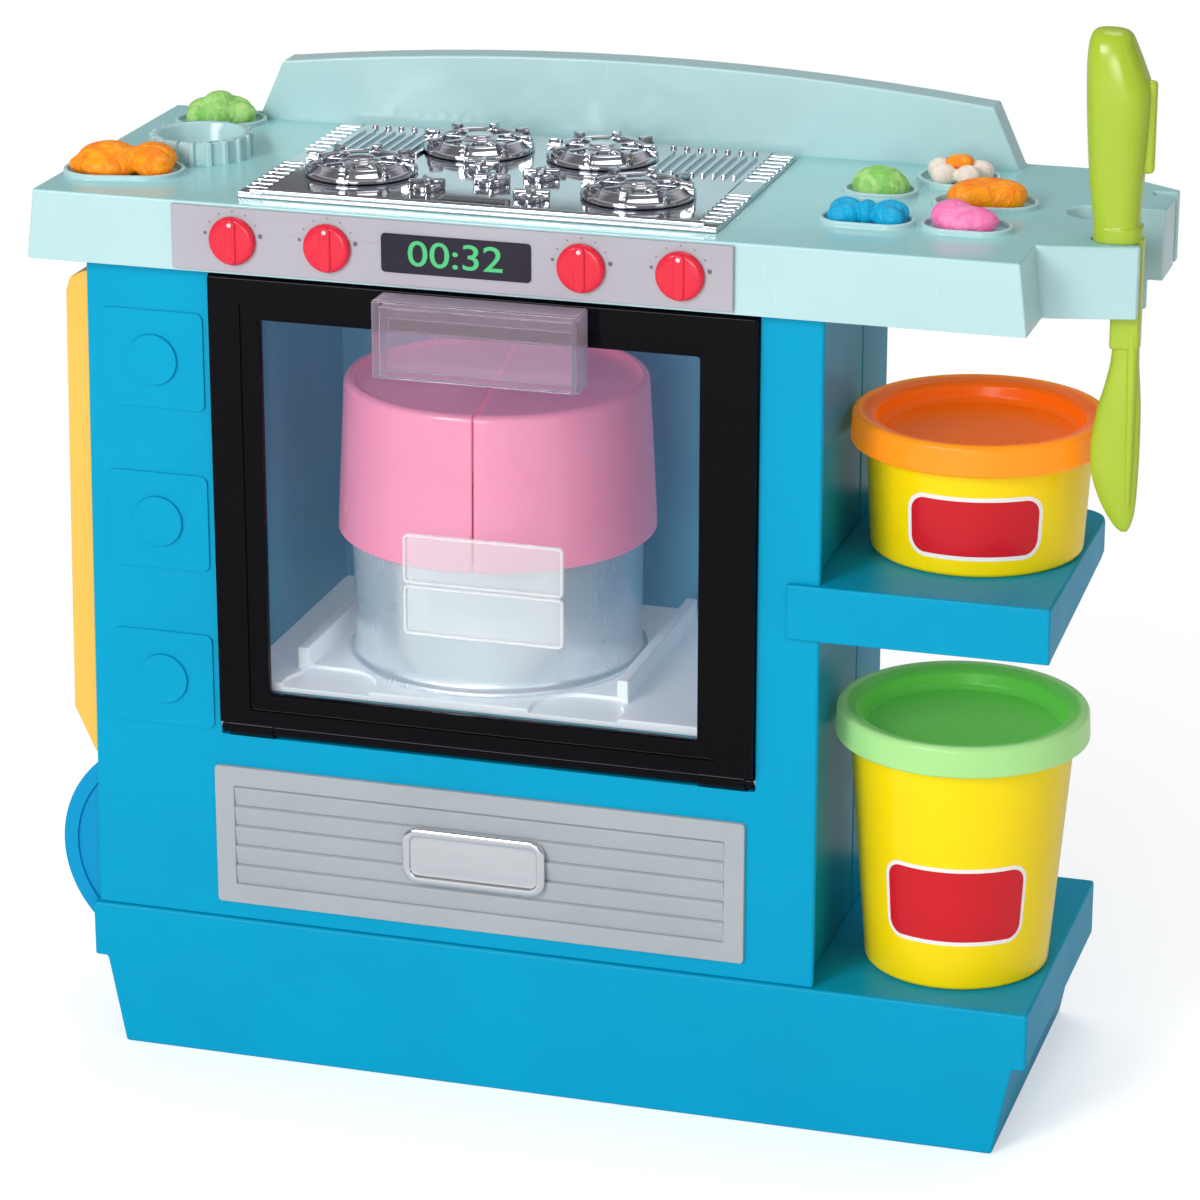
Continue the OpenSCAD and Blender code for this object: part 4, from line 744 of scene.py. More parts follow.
def plate(width, height, radius, profile, steps=6):
    """A plate with round corners. Its edge follows a profile of inset and level, from foot to face."""
    return drawn([boxed_ring(width - 2 * d, height - 2 * d, radius - d, z, steps) for d, z in profile])


def hob_ridges():
    """Two fans of low ridges behind and a row of buttons along the back edge on each side."""
    ridge = block((-0.00055, -0.011, -0.0003), (0.00055, 0.011, 0.0008), 0.0003)
    button = lathed([(0.0008, -0.0002), (0.0008, 0.0008), (0, 0.0011)], 0.0003, parts=16)
    parts = []
    for side, edge in ((1, hob_low.x), (-1, hob_high.x)):
        for piece, count, step, inset, back in ((ridge, 9, 0.0027, 0.0086, 0.019),
                                                (button, 7, 0.0036, 0.010, 0.0034)):
            parts.append(grown(in_row, piece, chrome, Count=count, Step=(side * step, 0, 0),
                               Start=(edge + side * inset, hob_high.y - back, hob_top)))
    badge = plate(0.018, 0.004, 0.0012, [(0, -0.0002), (0, 0.0006), (0.0003, 0.0010), (0.0008, 0.0010),
                                         (0.0010, 0.0007)])
    bare_badge = moved(badge, (hob_low.x + 0.41 * hob_size.x + 0.009, hob_low.y + 0.007, hob_top))
    return named(combined(*parts, bare_badge), "hob_ridges")


on_hob(hob_ridges())

# Fascia. A printed silver plate pressed into the apron. Round each knob it has a fine ring
# of grey marks, the larger ones left and right.

fascia_silver = moulded("fascia_silver", (176, 173, 181), (170, 167, 176), 0.34, 0.46, grain=2600.0,
                        depth=0.000004)
mark_grey = moulded("mark_grey", (112, 110, 124), (104, 102, 116), 0.4, 0.5)
rounded("fascia_panel", 0.0004, fascia_silver)
knobs = ("knob_far_left", "knob_left", "knob_right", "knob_far_right")
front_turn = (90, 0, 0)


def half_width(node):
    low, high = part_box(node)
    return (high.x - low.x) / 2


def knob_middle(node):
    low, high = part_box(node)
    return Vector(((low.x + high.x) / 2, high.y, (low.z + high.z) / 2))


fascia_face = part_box("fascia_panel")[0].y
knob_radius = half_width("knob_left")


def fascia_marks():
    """Dots round each knob, small but for one at the right and one at the left."""
    dot = turned([(1.0, 0.0), (1.0, 0.00002), (0, 0.00002)], 20)
    small = 0.00022
    parts = []
    ring_reach = knob_radius + 0.0013
    for node in knobs:
        middle = knob_middle(node)
        for angle, size in ((12, 0.00062), *((a, small) for a in (35, 62, 90, 118, 145)), (168, 0.00045)):
            a = math.radians(angle)
            place = (middle.x + ring_reach * math.cos(a), fascia_face, middle.z + ring_reach * math.sin(a))
            parts.append(moved(dot.copy(), place, front_turn, (size, size, 1)))
    return combined(*parts)


kept(fascia_marks(), "fascia_marks", mark_grey, "fascia_panel")

# Display. A dark glossy window set in the fascia, with green figures printed on its face;
# the figures stand for a clock and tell nothing else.

display_dark = moulded("display_dark", (46, 41, 54), (40, 36, 48), 0.10, 0.2, depth=0.000003, gloss=0.15)
figure_green = moulded("figure_green", (84, 192, 126), (78, 186, 120), 0.4, 0.5)
window_low, window_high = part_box("display_window")
window_middle = (window_low + window_high) / 2


def from_front(mesh, spot, depth):
    """Turns a mesh that lies in X and Y to face the front at a spot, its foot at that depth."""
    return moved(mesh, (spot.x, depth, spot.z), front_turn)


def display_glass():
    size = window_high - window_low
    edge = 0.0004
    profile = [(0, 0), (0, size.y - edge), (0.1 * edge, size.y - 0.4 * edge),
               (0.5 * edge, size.y - 0.1 * edge), (1.2 * edge, size.y - 0.05 * edge)]
    return combined(from_front(plate(size.x, size.z, 0.001, profile), window_middle, window_high.y))


def figures(words, height, stretch):
    """Flat letters of that height on the window's face, drawn wider by the stretch."""
    letters = bpy.data.curves.new("figures", "FONT")
    letters.body = words
    letters.align_x = "CENTER"
    letters.align_y = "CENTER"
    letters.size = height
    letters.offset = height * 0.004
    letters.extrude = 0.000015
    mesh = evaluated(linked("figures", letters))
    for corner in mesh.vertices:
        corner.co.x *= stretch
    return from_front(mesh, window_middle, window_low.y - 0.00001)


kept(display_glass(), "display_glass", display_dark, "display_window")
kept(figures("00:32", 0.0090, 1.24), "display_figures", figure_green, "display_window")

# Control knobs. Four red discs with an upright grip bar and a white dot printed at its top.
# Each snaps into the fascia on a split spindle and turns.

knob_red = moulded("knob_red", (224, 34, 60), (217, 29, 54), 0.16, 0.28, gloss=0.4)
dot_white = moulded("dot_white", (240, 205, 212), (236, 200, 208), 0.4, 0.5)
knob_height = 0.0024


def knob_form(thickness, spindle):
    """The knob about Z, its face at the top and its spindle down to that length."""
    disc = lathed([(0, -spindle), (0.0017, -spindle), (0.0018, 0.0), (knob_radius, 0.0),
                   (knob_radius, 0.0008), (knob_radius - 0.0006, 0.0016), (knob_radius - 0.0018, 0.0018),
                   (0, 0.0019)], 0.0005, parts=96)
    half = knob_radius - 0.0004
    rings = []
    for level, spare in ((0.0012, 0.0), (thickness - 0.0003, 0.0001), (thickness - 0.0001, 0.0003),
                         (thickness, 0.0006)):
        rings.append(boxed_ring(0.0030 - 2 * spare, 2 * (half - spare), 0.0015 - spare, level, 8))
    return combined(disc, drawn(rings))


for node in knobs:
    low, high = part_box(node)
    middle = knob_middle(node)
    foot = low.y + knob_height
    form = from_front(knob_form(knob_height, high.y - foot), middle, foot)
    kept(combined(form), node + "_cap", knob_red, node)
    middle.z += knob_radius - 0.0017
    dot = from_front(turned([(0.00055, 0), (0.00055, 0.00003), (0, 0.00003)], 20), middle, low.y + 0.00002)
    kept(combined(dot), node + "_dot", dot_white, node)

# Vent. A silver painted panel glued over a recess in the cabinet's face: a flat border, five
# slanted louvres, and in their middle a plain raised plaque.

vent_silver = moulded("vent_silver", (169, 175, 179), (161, 168, 173), 0.34, 0.50, grain=2200.0,
                      depth=0.000006)
plaque_silver = metal("plaque_silver", (222, 224, 228), 0.12, 0.24)


def vent():
    low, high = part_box("vent_panel")
    border = 0.0054
    edge = 0.00045
    count = 5
    pitch = (high.z - low.z - 2 * border) / count
    size, middle = high - low, (low + high) / 2
    profile = [(0, 0), (0, size.y - edge), (0.3 * edge, size.y - 0.3 * edge), (edge, size.y),
               (border - edge, size.y), (border - 0.3 * edge, size.y - 0.3 * edge),
               (border, size.y - edge), (border, 0)]
    rim = drawn([boxed_ring(size.x - 2 * d, size.z - 2 * d, 0.0012 - min(d, 0.0009), z) for d, z in profile],
                closed=True)
    # A louvre leans out towards its top edge, with a step back over it
    outline = softened([(0.0011, 0.0), (0.0009, 0.0), (0.0001, 0.86 * pitch), (0.0001, pitch - 0.0004),
                        (0.0011, pitch)], 0.00025, 3, closed=True)
    slat = drawn([[(x, y, z) for y, z in outline] for x in (0, high.x - low.x - 2 * border)])
    slats = grown(in_row, slat, vent_silver, Count=count, Step=(0, 0, pitch),
                  Start=(low.x + border, low.y, low.z + border))
    return combined(from_front(rim, middle, high.y), slats)


def plaque():
    low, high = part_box("vent_plaque")
    size, middle = high - low, (low + high) / 2
    tall = size.y
    profile = [(0, 0), (0, 0.7 * tall), (0.0003, 0.9 * tall), (0.0008, tall), (0.0014, tall),
               (0.0019, 0.9 * tall), (0.0022, 0.62 * tall), (0.0026, 0.55 * tall), (0.0040, 0.62 * tall),
               (0.0055, 0.64 * tall)]
    return combined(from_front(plate(size.x, size.z, 0.004, profile, 8), middle, high.y))


kept(vent(), "vent_louvres", vent_silver, "vent_panel")
kept(plaque(), "vent_plaque_bare", plaque_silver, "vent_plaque")

# Oven. A slate-blue box hangs behind the door's opening by its flange. A white tray with two
# rails and keyhole recesses lies on its floor and carries the silver cake pan; the cake above
# it is two pink half shells on the lift's platform.

# Painted glow: the liner, the tray and the cake emit their own colour, painted light that brightens the
# oven's inside.
interior_slate = moulded("interior_slate", (106, 172, 200), (97, 162, 191), 0.38, 0.55, painted_glow=0.07)
tray_white = moulded("tray_white", (244, 246, 249), (237, 240, 245), 0.28, 0.42, painted_glow=0.12)
pan_silver = moulded("pan_silver", (228, 235, 242), (219, 227, 235), 0.20, 0.32, depth=0.000006, metal=0.45)
cake_pink = moulded("cake_pink", (252, 158, 188), (248, 146, 179), 0.16, 0.26, depth=0.000008, soft=0.25,
                    gloss=0.5, painted_glow=0.20)
mechanism_white = moulded("mechanism_white", (222, 222, 224), (214, 214, 217), 0.36, 0.5)
rounded("oven_liner", 0.0012, interior_slate)
rounded("oven_tray", 0.0005, tray_white)


def about(node):
    """The upright axis of a node: the middle of its box, at its foot."""
    low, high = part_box(node)
    return Vector(((low.x + high.x) / 2, (low.y + high.y) / 2, low.z))


def cake_pan():
    low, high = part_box("cake_pan")
    reach = half_width("cake_pan")
    tall = high.z - low.z
    foot = reach - 0.0019
    wall = 0.0012
    return lathed([
        (0.0052, 0.0), (reach, 0.0), (reach, 0.0011), (foot + 0.0004, 0.0020), (foot + 0.0002, 0.0034),
        (0.0376, 0.62 * tall), (0.0379, tall - 0.0016), (0.0383, tall - 0.0008), (0.0379, tall),
        (0.0367, tall), (0.0364, 0.62 * tall), (foot - wall, wall + 0.0006), (foot - 2 * wall, wall),
        (0.0052, wall)], 0.0006, 3, 128, closed=True)


kept(combined(moved(cake_pan(), about("cake_pan"))), "cake_pan_turned", pan_silver, "cake_pan")
for node in ("cake_left_half", "cake_right_half"):
    rounded(node, 0.0006, cake_pink, 3)

# Lift drive. The side wheel sits on a steel shaft with a pinion, which lifts a rack carriage
# under the oven; the post rises from it through a bush and carries the cake.

wheel_blue = moulded("wheel_blue", (0, 150, 200), (0, 144, 194), 0.26, 0.38)
rounded("side_wheel", 0.0005, wheel_blue)
for node in ("wheel_shaft", "hinge_pins"):
    rounded(node, 0.0002, steel)
for node in ("lift_pinion", "riser_carriage", "riser_post", "post_bush", "gear_bracket"):
    rounded(node, 0.0003, mechanism_white)

# Door. A glossy black frame with a step round its window, a clear pane held in a rebate
# behind it, and a clear handle glued to its top bar. It swings down on two steel pins.


def clear_plastic(name, tint, smooth, dull, haze, veil_colour, bend=1.46, rim_haze=0.0):
    """Clear moulded plastic with a milky haze. Shadows of lamps pass through it, tinted."""
    material, clear = surfaced(name, skin, tint, [c * 0.98 for c in tint], smooth, dull, 1400.0,
                               0.000006, 0.5, IOR=bend, Transmission_Weight=1.0)
    tree = material.node_tree
    milk = placed(tree, "BsdfDiffuse", paint(*veil_colour))
    if rim_haze:
        turned_away = placed(tree, "LayerWeight", Blend=0.5).outputs["Facing"]
        haze = spread(tree, turned_away, 0.35, 0.85, haze, haze + rim_haze)
    veiled = placed(tree, "MixShader", haze, clear, milk)
    open_way = placed(tree, "BsdfTransparent", paint(*[c * 0.97 for c in tint]))
    ray = placed(tree, "LightPath").outputs
    passing = placed(tree, "Math", ray["Is Shadow Ray"], ray["Is Diffuse Ray"], operation="MAXIMUM")
    either = placed(tree, "MixShader", passing, veiled, open_way)
    placed(tree, "OutputMaterial", either)
    return material


door_black = moulded("door_black", (9, 8, 12), (6, 5, 9), 0.08, 0.16, depth=0.000003, gloss=0.08)
pane_clear = clear_plastic("pane_clear", (248, 251, 252), 0.01, 0.03, 0.002, (225, 232, 238), 1.2)
pane_frosted = clear_plastic("pane_frosted", (248, 251, 251), 0.08, 0.16, 0.22, (240, 244, 246))
rim_frosted = clear_plastic("rim_frosted", (250, 252, 252), 0.16, 0.26, 0.34, (250, 252, 253))
handle_clear = clear_plastic("handle_clear", (244, 230, 242), 0.03, 0.08, 0.06, (236, 222, 234), rim_haze=0.4)
rounded("door_frame", 0.0007, door_black)
pane_thickness = 0.0012


def door_pane():
    low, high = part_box("door_pane")
    return combined(block((low.x, high.y - pane_thickness, low.z), high, 0.0002))


def pane_tag():
    """Two framed fields pressed in relief on the pane, left bare: their faces and their rims."""
    low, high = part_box("door_pane")
    face = high.y - pane_thickness
    tall = face - low.y
    wide, high_one, pitch = 0.042, 0.0131, 0.0135
    left = low.x + 0.0389
    foot = low.z + 0.0224
    rim = [(0, 0.00002), (0, 0.7 * tall), (0.0002, tall), (0.0006, tall), (0.0008, 0.7 * tall),
           (0.0008, 0.00002)]
    fields, rims = [], []
    for i in (0, 1):
        middle = Vector((left + wide / 2, 0, foot + (i + 0.5) * pitch))
        field = plate(wide - 0.0018, high_one - 0.0018, 0.0006,
                      [(0, 0.00002), (0.0001, 0.25 * tall), (0.0004, 0.3 * tall)])
        loops = [boxed_ring(wide - 2 * d, high_one - 2 * d, 0.0014 - d, z) for d, z in rim]
        fields.append(from_front(field, middle, face))
        rims.append(from_front(drawn(loops, closed=True), middle, face))
    return combined(*fields), combined(*rims)


kept(door_pane(), "door_pane_sheet", pane_clear, "door_pane")
tag_fields, tag_rims = pane_tag()
kept(tag_fields, "door_pane_tag", pane_frosted, "door_pane")
kept(tag_rims, "door_pane_tag_rims", rim_frosted, "door_pane")
rounded("door_handle", 0.0005, handle_clear, 3)

# Side board. A yellow slab that slopes in at its foot, hung by two pegs on the left side.

board_yellow = moulded("board_yellow", (236, 191, 90), (230, 184, 82), 0.30, 0.42)
rounded("side_board", 0.0010, board_yellow, 3)

# Spoon. One lime green moulding, seen from its side: a swelling handle with a thumb rib, a
# shaft that hangs in the holder's slot, and a bowl whose back faces left.

tool_lime = moulded("tool_lime", (172, 197, 50), (160, 186, 40), 0.18, 0.30, depth=0.000012, soft=0.05,
                    gloss=0.5)


def smooth_between(values, steps):
    """A smooth row of values through the given ones, as tuples."""
    result = []
    last = len(values) - 1
    for i in range(last):
        around = [Vector(values[max(0, min(last, i + k))]) for k in (-1, 0, 1, 2)]
        for k in range(steps):
            t = k / steps
            result.append(0.5 * (2 * around[1] + (around[2] - around[0]) * t
                          + (2 * around[0] - 5 * around[1] + 4 * around[2] - around[3]) * t * t
                          + (3 * around[1] - around[0] - 3 * around[2] + around[3]) * t ** 3))
    return [tuple(v) for v in result] + [tuple(values[-1])]


def lofted(stations, parts=48, steps=5, power=2.4):
    """A round form through stations of height, left, right and half depth, all in millimetres."""
    rings = []
    for height, left, right, half in smooth_between(stations, steps):
        ring = []
        for k in range(parts):
            a = 2 * math.pi * k / parts
            across = math.copysign(abs(math.cos(a)) ** (2 / power), math.cos(a))
            deep = math.copysign(abs(math.sin(a)) ** (2 / power), math.sin(a))
            ring.append(((left + right) / 2 + across * (right - left) / 2, half * deep, height))
        rings.append(ring)
    return moved(drawn(rings), size=(0.001, 0.001, 0.001))


def spoon():
    """Stations are told from a height, and inwards from the right side, all in millimetres."""
    low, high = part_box("spoon_tool")
    counter, right, top, tip = (value * 1000 for value in (hob_low.z, high.x, high.z, low.z))

    def swept(stations, parts=48, power=2.4):
        return lofted([(base + rise, right - far, right - near, half)
                       for base, rise, far, near, half in stations], parts, power=power)

    handle = swept([
        (counter, 0.1, 13.9, 2.2, 5.6), (counter, 3.2, 14.0, 2.1, 5.7), (counter, 5, 14.1, 2.8, 5.5),
        (counter, 16, 15.4, 2.3, 5.9), (top, -21, 16.4, 1.5, 6.6), (top, -14, 16.7, 1.5, 6.9),
        (top, -8.5, 16.8, 3.4, 6.6), (top, -4.2, 16.6, 5.2, 5.8), (top, -1.6, 16.0, 6.4, 4.4),
        (top, -0.4, 14.9, 8.0, 2.6), (top, 0, 13.0, 10.4, 0.8)], power=2.6)
    bowl = swept([
        (counter, -24, 8.3, 1.8, 2.0), (counter, -30, 8.6, 1.7, 2.0), (counter, -36, 9.8, 1.2, 2.2),
        (counter, -43, 11.6, 0.8, 2.5), (counter, -51, 12.7, 0.7, 2.6), (counter, -58, 12.4, 0.8, 2.6),
        (counter, -64, 10.6, 1.0, 2.3), (tip, 4.5, 8.4, 1.4, 1.9), (tip, 1.4, 6.2, 2.2, 1.3),
        (tip, 0, 4.6, 3.0, 0.5)], power=2.1)
    spine = swept([
        (counter, -20, 5.0, 1.9, 2.4), (counter, -34, 4.6, 1.7, 2.8), (counter, -50, 4.2, 1.6, 2.9),
        (tip, 8, 3.9, 1.9, 2.2), (tip, 4, 3.4, 2.2, 0.6)], 24)
    mm = 0.001
    shaft = block(((right - 8.9) * mm, -2.3 * mm, (counter - 27) * mm),
                  ((right - 1.7) * mm, 2.3 * mm, (counter + 1) * mm), 0.0009, 3)
    rib = block(((right - 6) * mm, -1.4 * mm, (counter + 16.4) * mm),
                (right * mm, 1.4 * mm, (top - 12) * mm), 0.0012, 4)
    return moved(combined(handle, bowl, spine, shaft, rib, angle=50), (0, (low.y + high.y) / 2, 0))


kept(spoon(), "spoon_lofted", tool_lime, "spoon_tool")

# Tubs. Two thin yellow cans with press-on lids that have a sunken middle, orange on the small
# one and green on the tall one. Each carries a plain red paper label with a white rim.

tub_yellow = moulded("tub_yellow", (252, 221, 0), (247, 214, 0), 0.24, 0.34, depth=0.00001, coat=0.2)


def lid_look(name, node, rim, well, painted_glow):
    """The lid's plastic, a deeper colour within the rim, over its sunken middle, with a painted glow."""
    material = moulded(name, rim, [c * 0.96 for c in rim], 0.20, 0.32, soft=0.08, gloss=0.3, painted_glow=painted_glow)
    tree = material.node_tree
    centre = about(node)
    spot = placed(tree, "TexCoord").outputs["Object"]
    out = placed(tree, "VectorMath", spot, (centre.x, centre.y, 0), operation="SUBTRACT")
    level = placed(tree, "VectorMath", out, (1, 1, 0), operation="MULTIPLY")
    radius = placed(tree, "VectorMath", level, operation="LENGTH").outputs["Value"]
    rim_start = half_width(node) - 0.0026
    recoloured(material, spread(tree, radius, rim_start - 0.0006, rim_start + 0.0004, 1.0, 0.0), well)
    return material


# Painted glow: both lids emit their own colour, painted light.
lid_orange = lid_look("lid_orange", "small_tub_lid", (252, 142, 24), (240, 104, 10), 0.30)
lid_green = lid_look("lid_green", "tall_tub_lid", (158, 212, 134), (100, 198, 76), 0.20)
label_white = moulded("label_white", (240, 238, 236), (234, 232, 230), 0.3, 0.4, depth=0.000002)
label_red = moulded("label_red", (208, 28, 40), (200, 22, 34), 0.26, 0.36, depth=0.000002, coat=0.2)
mouth_radius = 0.0281
tub_wall = 0.0012
lid_thickness = 0.0013
lid_height = 0.0079
neck_height = 0.0073
foot_round = 0.0008
label_turn = -80.0
label_corner = 0.005


def tub(node, foot_radius):
    low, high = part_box(node)
    full = high.z - low.z
    shoulder = full - neck_height
    form = lathed([
        (0, 0.0006), (foot_radius - 0.0030, 0.0006), (foot_radius - 0.0024, 0), (foot_radius - foot_round, 0),
        (foot_radius, foot_round), (mouth_radius, shoulder), (mouth_radius, full - 0.0006),
        (mouth_radius + 0.0001, full), (mouth_radius - tub_wall, full), (mouth_radius - tub_wall, shoulder),
        (foot_radius - tub_wall, 0.0019), (foot_radius - 0.0026, 0.0015), (0, 0.0015)], 0.0007, 3, 128)
    kept(combined(moved(form, about(node))), node + "_can", tub_yellow, node)


def lid(node, material):
    """The skirt, the rim and the sunken middle, one moulding."""
    neck = mouth_radius - tub_wall - 0.0004
    reach = half_width(node)
    well = 0.0022
    t = lid_thickness
    top = lid_height
    form = lathed([
        (0, well - t), (neck, well - t), (neck, top - t), (mouth_radius + 0.0004, top - t),
        (mouth_radius + 0.0005, 0.0012), (reach - t, 0), (reach - 0.0003, 0), (reach, 0.0005),
        (reach - 0.0001, 0.0024), (reach - 0.0003, top - 0.0010), (reach - 0.0010, top - 0.0001),
        (reach - 0.0018, top), (reach - 0.0026, top - 0.0003), (neck + 0.0004, top - 0.0009),
        (neck - 0.0006, top - 0.0017), (neck - 0.0011, well + 0.0012), (neck - 0.0020, well), (0, well)],
        0.0004, 3, 128)
    kept(combined(moved(form, about(node))), node + "_turned", material, node)


def label(node, foot_radius, middle, width, height, spare, lift):
    """A patch with round corners that hugs the tub's cone, as wide as asked less the spare rim."""
    low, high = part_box(node)
    shoulder = high.z - low.z - neck_height
    half_wide, half_height, round_by = width / 2 - spare, height / 2 - spare, label_corner - spare
    axis = about(node)

    def on_can(x, z, out):
        level = middle + z
        share = (level - foot_round) / (shoulder - foot_round)
        radius = foot_radius + (mouth_radius - foot_radius) * share + out
        angle = math.radians(label_turn) + x / mouth_radius
        return (axis.x + radius * math.cos(angle), axis.y + radius * math.sin(angle), axis.z + level)

    ends = [half_wide - round_by * (1 - math.sin(math.radians(7.5 * k))) for k in range(13)]
    columns = []
    for x in [-e for e in reversed(ends)] + [ends[0] * k / 12 for k in range(-11, 12)] + ends:
        over = max(0.0, abs(x) - ends[0])
        top = half_height - round_by + math.sqrt(max(0.0, round_by ** 2 - over ** 2))
        columns.append([on_can(x, z, out) for z, out in ((-top, 0.00001), (-top, lift), (top, lift),
                                                         (top, 0.00001))])
    return combined(drawn(columns))


for node, foot_radius, middle, cap_look, wide, tall in (
        ("small_tub", 0.0266, 0.0128, lid_orange, 0.036, 0.0165),
        ("tall_tub", 0.0234, 0.0235, lid_green, 0.042, 0.0215)):
    tub(node, foot_radius)
    lid(node + "_lid", cap_look)
    for part, material, spare, lift in (("_label_rim", label_white, 0.0, 0.00004),
                                        ("_label", label_red, 0.0011, 0.00008)):
        kept(label(node, foot_radius, middle, wide, tall, spare, lift), node + part, material, node)

# Dough. Soft lumps pressed by hand into the worktop's moulds and into the tubs, matt, with
# faint dents and a slight painted glow, painted light in their colour.

dough_skin, dough_in, dough_out = surface_group("dough_skin", 0.4, 0.6, 700.0)
spot = placed(dough_skin, "TexCoord").outputs["Object"]
folds = placed(dough_skin, "TexNoise", Vector=spot, Scale=190.0, Detail=3.0, Roughness=0.6,
               Distortion=1.4)
creases = placed(dough_skin, "TexVoronoi", Vector=spot, Scale=230.0, feature="DISTANCE_TO_EDGE")
crumbs = placed(dough_skin, "TexNoise", Vector=spot, Scale=dough_in["Grain"], Detail=2.0)
filled(dough_skin, dough_out["Colour"],
       mixed_colour(dough_skin, spread(dough_skin, folds, 0.40, 0.62, 0.0, 1.0),
                    dough_in["Colour"], dough_in["Deeper"]))
filled(dough_skin, dough_out["Roughness"],
       spread(dough_skin, folds, 0.3, 0.7, dough_in["Smooth"], dough_in["Dull"]))
fold = spread(dough_skin, folds, 0.44, 0.56, 0.0, 1.0)
valley = spread(dough_skin, creases.outputs["Distance"], 0.0, 0.09, 0.0, 0.5)
raised = placed(dough_skin, "Math", fold, valley, operation="ADD")
crumb_weight = 0.25
filled(dough_skin, dough_out["Height"],
       placed(dough_skin, "Math", crumbs, crumb_weight, raised, operation="MULTIPLY_ADD"))


def dough_look(name, colour, deeper):
    # Painted glow: every dough emits a little of its own colour, painted light.
    return moulded(name, colour, deeper, 0.40, 0.58, grain=900.0, depth=0.00028, soft=0.10, gloss=0.35,
                   painted_glow=0.06, group=dough_skin)


dough_orange = dough_look("dough_orange", (255, 160, 10), (250, 126, 2))
dough_green = dough_look("dough_green", (168, 215, 128), (126, 196, 92))
dough_blue = dough_look("dough_blue", (0, 178, 222), (0, 158, 208))
dough_pink = dough_look("dough_pink", (246, 140, 190), (238, 112, 170))
dough_white = dough_look("dough_white", (238, 226, 214), (232, 218, 206))
dents = bpy.data.textures.new("dents", "CLOUDS")
dents.noise_scale = 0.006


def dented(strength, level):
    return "DISPLACE", dict(texture=dents, texture_coords="LOCAL", strength=strength, mid_level=level)


def dough(node, material, turn, lumps, grain=0.00045, rounds=6, sink=0.0):
    """Lumps grown together, each given by its middle, half sizes and turn, in millimetres from the
    node's middle on the worktop."""
    low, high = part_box(node)
    shapes = []
    for x, y, z, a, b, c, angle in lumps:
        shape = bmesh.new()
        bmesh.ops.create_icosphere(shape, subdivisions=3, radius=1)
        mesh = bpy.data.meshes.new("lump")
        shape.to_mesh(mesh)
        shape.free()
        shapes.append(moved(mesh, (x, y, z), (0, 0, angle), (a, b, c)))
    heap = combined(*shapes)
    heap.transform(Matrix.Rotation(math.radians(turn), 4, "Z") @ Matrix.Scale(0.001, 4))
    heap.transform(Matrix.Translation(((low.x + high.x) / 2, (low.y + high.y) / 2, low.z - sink)))
    soft = settled(heap, ("REMESH", dict(mode="VOXEL", voxel_size=grain, use_smooth_shade=True)),
                   ("SMOOTH", dict(factor=0.5, iterations=rounds)),
                   dented(0.0006, 0.5))
    for vert in soft.vertices:
        vert.co.z = max(vert.co.z, low.z - sink + 0.00002)
    kept(soft, node + "_lump", material, node)


dough("croissant_dough", dough_orange, 12, [
    (-3.8, 0.6, 3.6, 8.2, 6.4, 4.4, 0), (-9.8, -0.6, 2.2, 4.2, 3.2, 2.4, -12),
    (-3.0, -3.4, 2.6, 7.4, 4.2, 3.0, 8), (7.0, 1.2, 3.6, 6.2, 6.2, 4.2, 0),
    (8.2, -2.6, 2.6, 5.0, 4.4, 3.2, 0), (1.4, 3.4, 2.6, 5.6, 3.6, 3.2, 10)])
dough("swirl_dough", dough_green, 20, [
    (-4.2, 1.8, 3.0, 5.0, 4.0, 3.6, 20), (3.2, 2.6, 3.2, 5.2, 3.6, 3.6, -15),
    (5.2, -1.6, 2.8, 4.2, 3.8, 3.2, 0), (-1.0, -2.6, 2.8, 4.4, 3.6, 3.4, 0),
    (-0.4, 1.2, 5.0, 4.6, 3.8, 3.4, 30), (-5.6, -1.4, 2.2, 3.6, 3.6, 2.8, 0)])
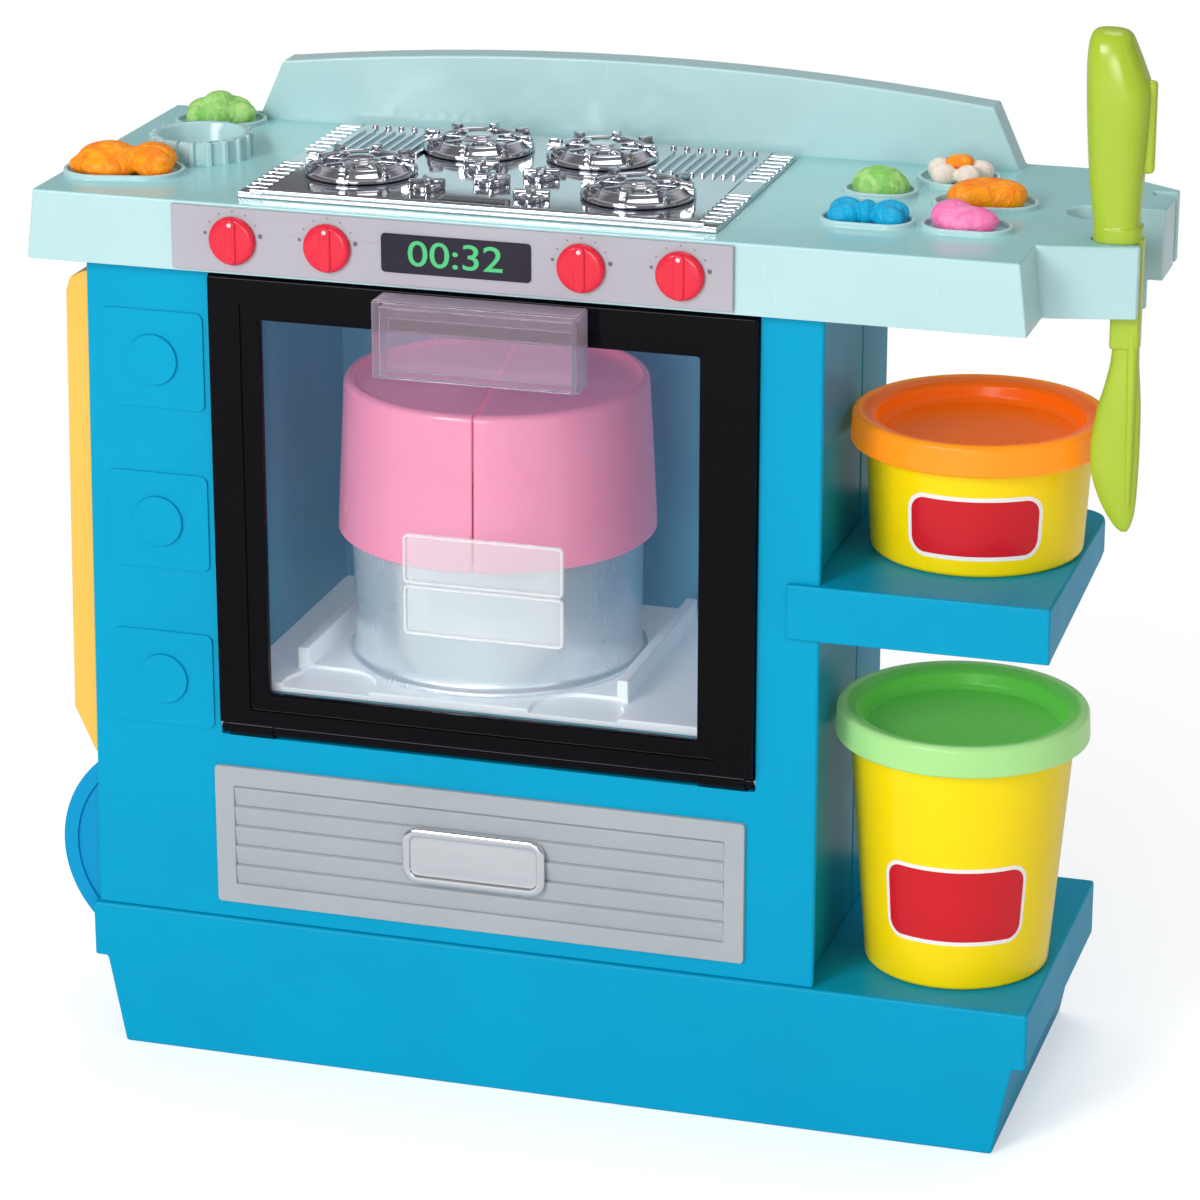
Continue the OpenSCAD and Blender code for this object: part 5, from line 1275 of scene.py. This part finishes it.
dough("oval_dough", dough_green, 0, [(0, 0, 2.2, 7.4, 5.2, 4.8, 0), (1.0, 0.2, 3.4, 5.2, 4.2, 3.6, 0)])
dough("bow_dough", dough_blue, 0, [
    (-5.2, 1.4, 2.4, 4.8, 3.4, 3.4, -20), (-5.4, -1.8, 2.2, 4.2, 2.9, 2.8, 20),
    (5.2, 1.4, 2.4, 4.8, 3.4, 3.4, 20), (5.4, -1.8, 2.2, 4.2, 2.9, 2.8, -20),
    (0, 0, 2.8, 2.4, 3.4, 3.2, 0)], grain=0.0004, rounds=3)
dough("heart_dough", dough_pink, 0, [
    (-3.6, 0.4, 3.0, 5.6, 5.2, 4.2, 0), (1.6, -0.6, 2.6, 6.6, 4.6, 3.4, -8),
    (-1.0, -2.2, 2.4, 6.2, 3.6, 3.0, 0)])
dough("bun_dough", dough_orange, 12, [
    (0, 0.6, 2.6, 9.6, 5.6, 4.4, 0), (-1.6, -2.0, 3.0, 8.0, 3.6, 3.4, 6), (4.4, 0, 2.8, 6.0, 5.2, 3.8, 0)])
petals = [(5.2 * math.cos(math.radians(a)), 5.2 * math.sin(math.radians(a)), 2.4, 3.7, 2.9, 2.9, a)
          for a in range(0, 360, 72)]
dough("flower_dough", dough_white, 18, petals + [(0, 0, 1.8, 4.0, 4.0, 2.2, 0)], grain=0.0004, rounds=3)
dough("flower_centre_dough", dough_orange, 0, [(0, 0, 1.1, 3.6, 3.6, 1.7, 0)], grain=0.0003, rounds=3,
      sink=0.0015)


def tub_dough(node, material):
    """A plug of dough with an uneven top."""
    low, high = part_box(node)
    radius = half_width(node)
    tall = high.z - low.z
    outline = [(0, 0.0), (radius - 0.0004, 0.0), (radius - 0.0003, tall * 0.3),
               (radius - 0.0002, tall - 0.0025)]
    outline += [(radius * (1 - k / 12), tall - 0.0012 - 0.0006 * math.sin(k)) for k in range(1, 12)]
    outline.append((0, tall - 0.0010))
    mesh = moved(turned(outline, 72), about(node))
    soft = settled(mesh, dented(0.0004, 0.8))
    kept(combined(soft), node + "_plug", material, node)


tub_dough("small_tub_dough", dough_orange)
tub_dough("tall_tub_dough", dough_green)
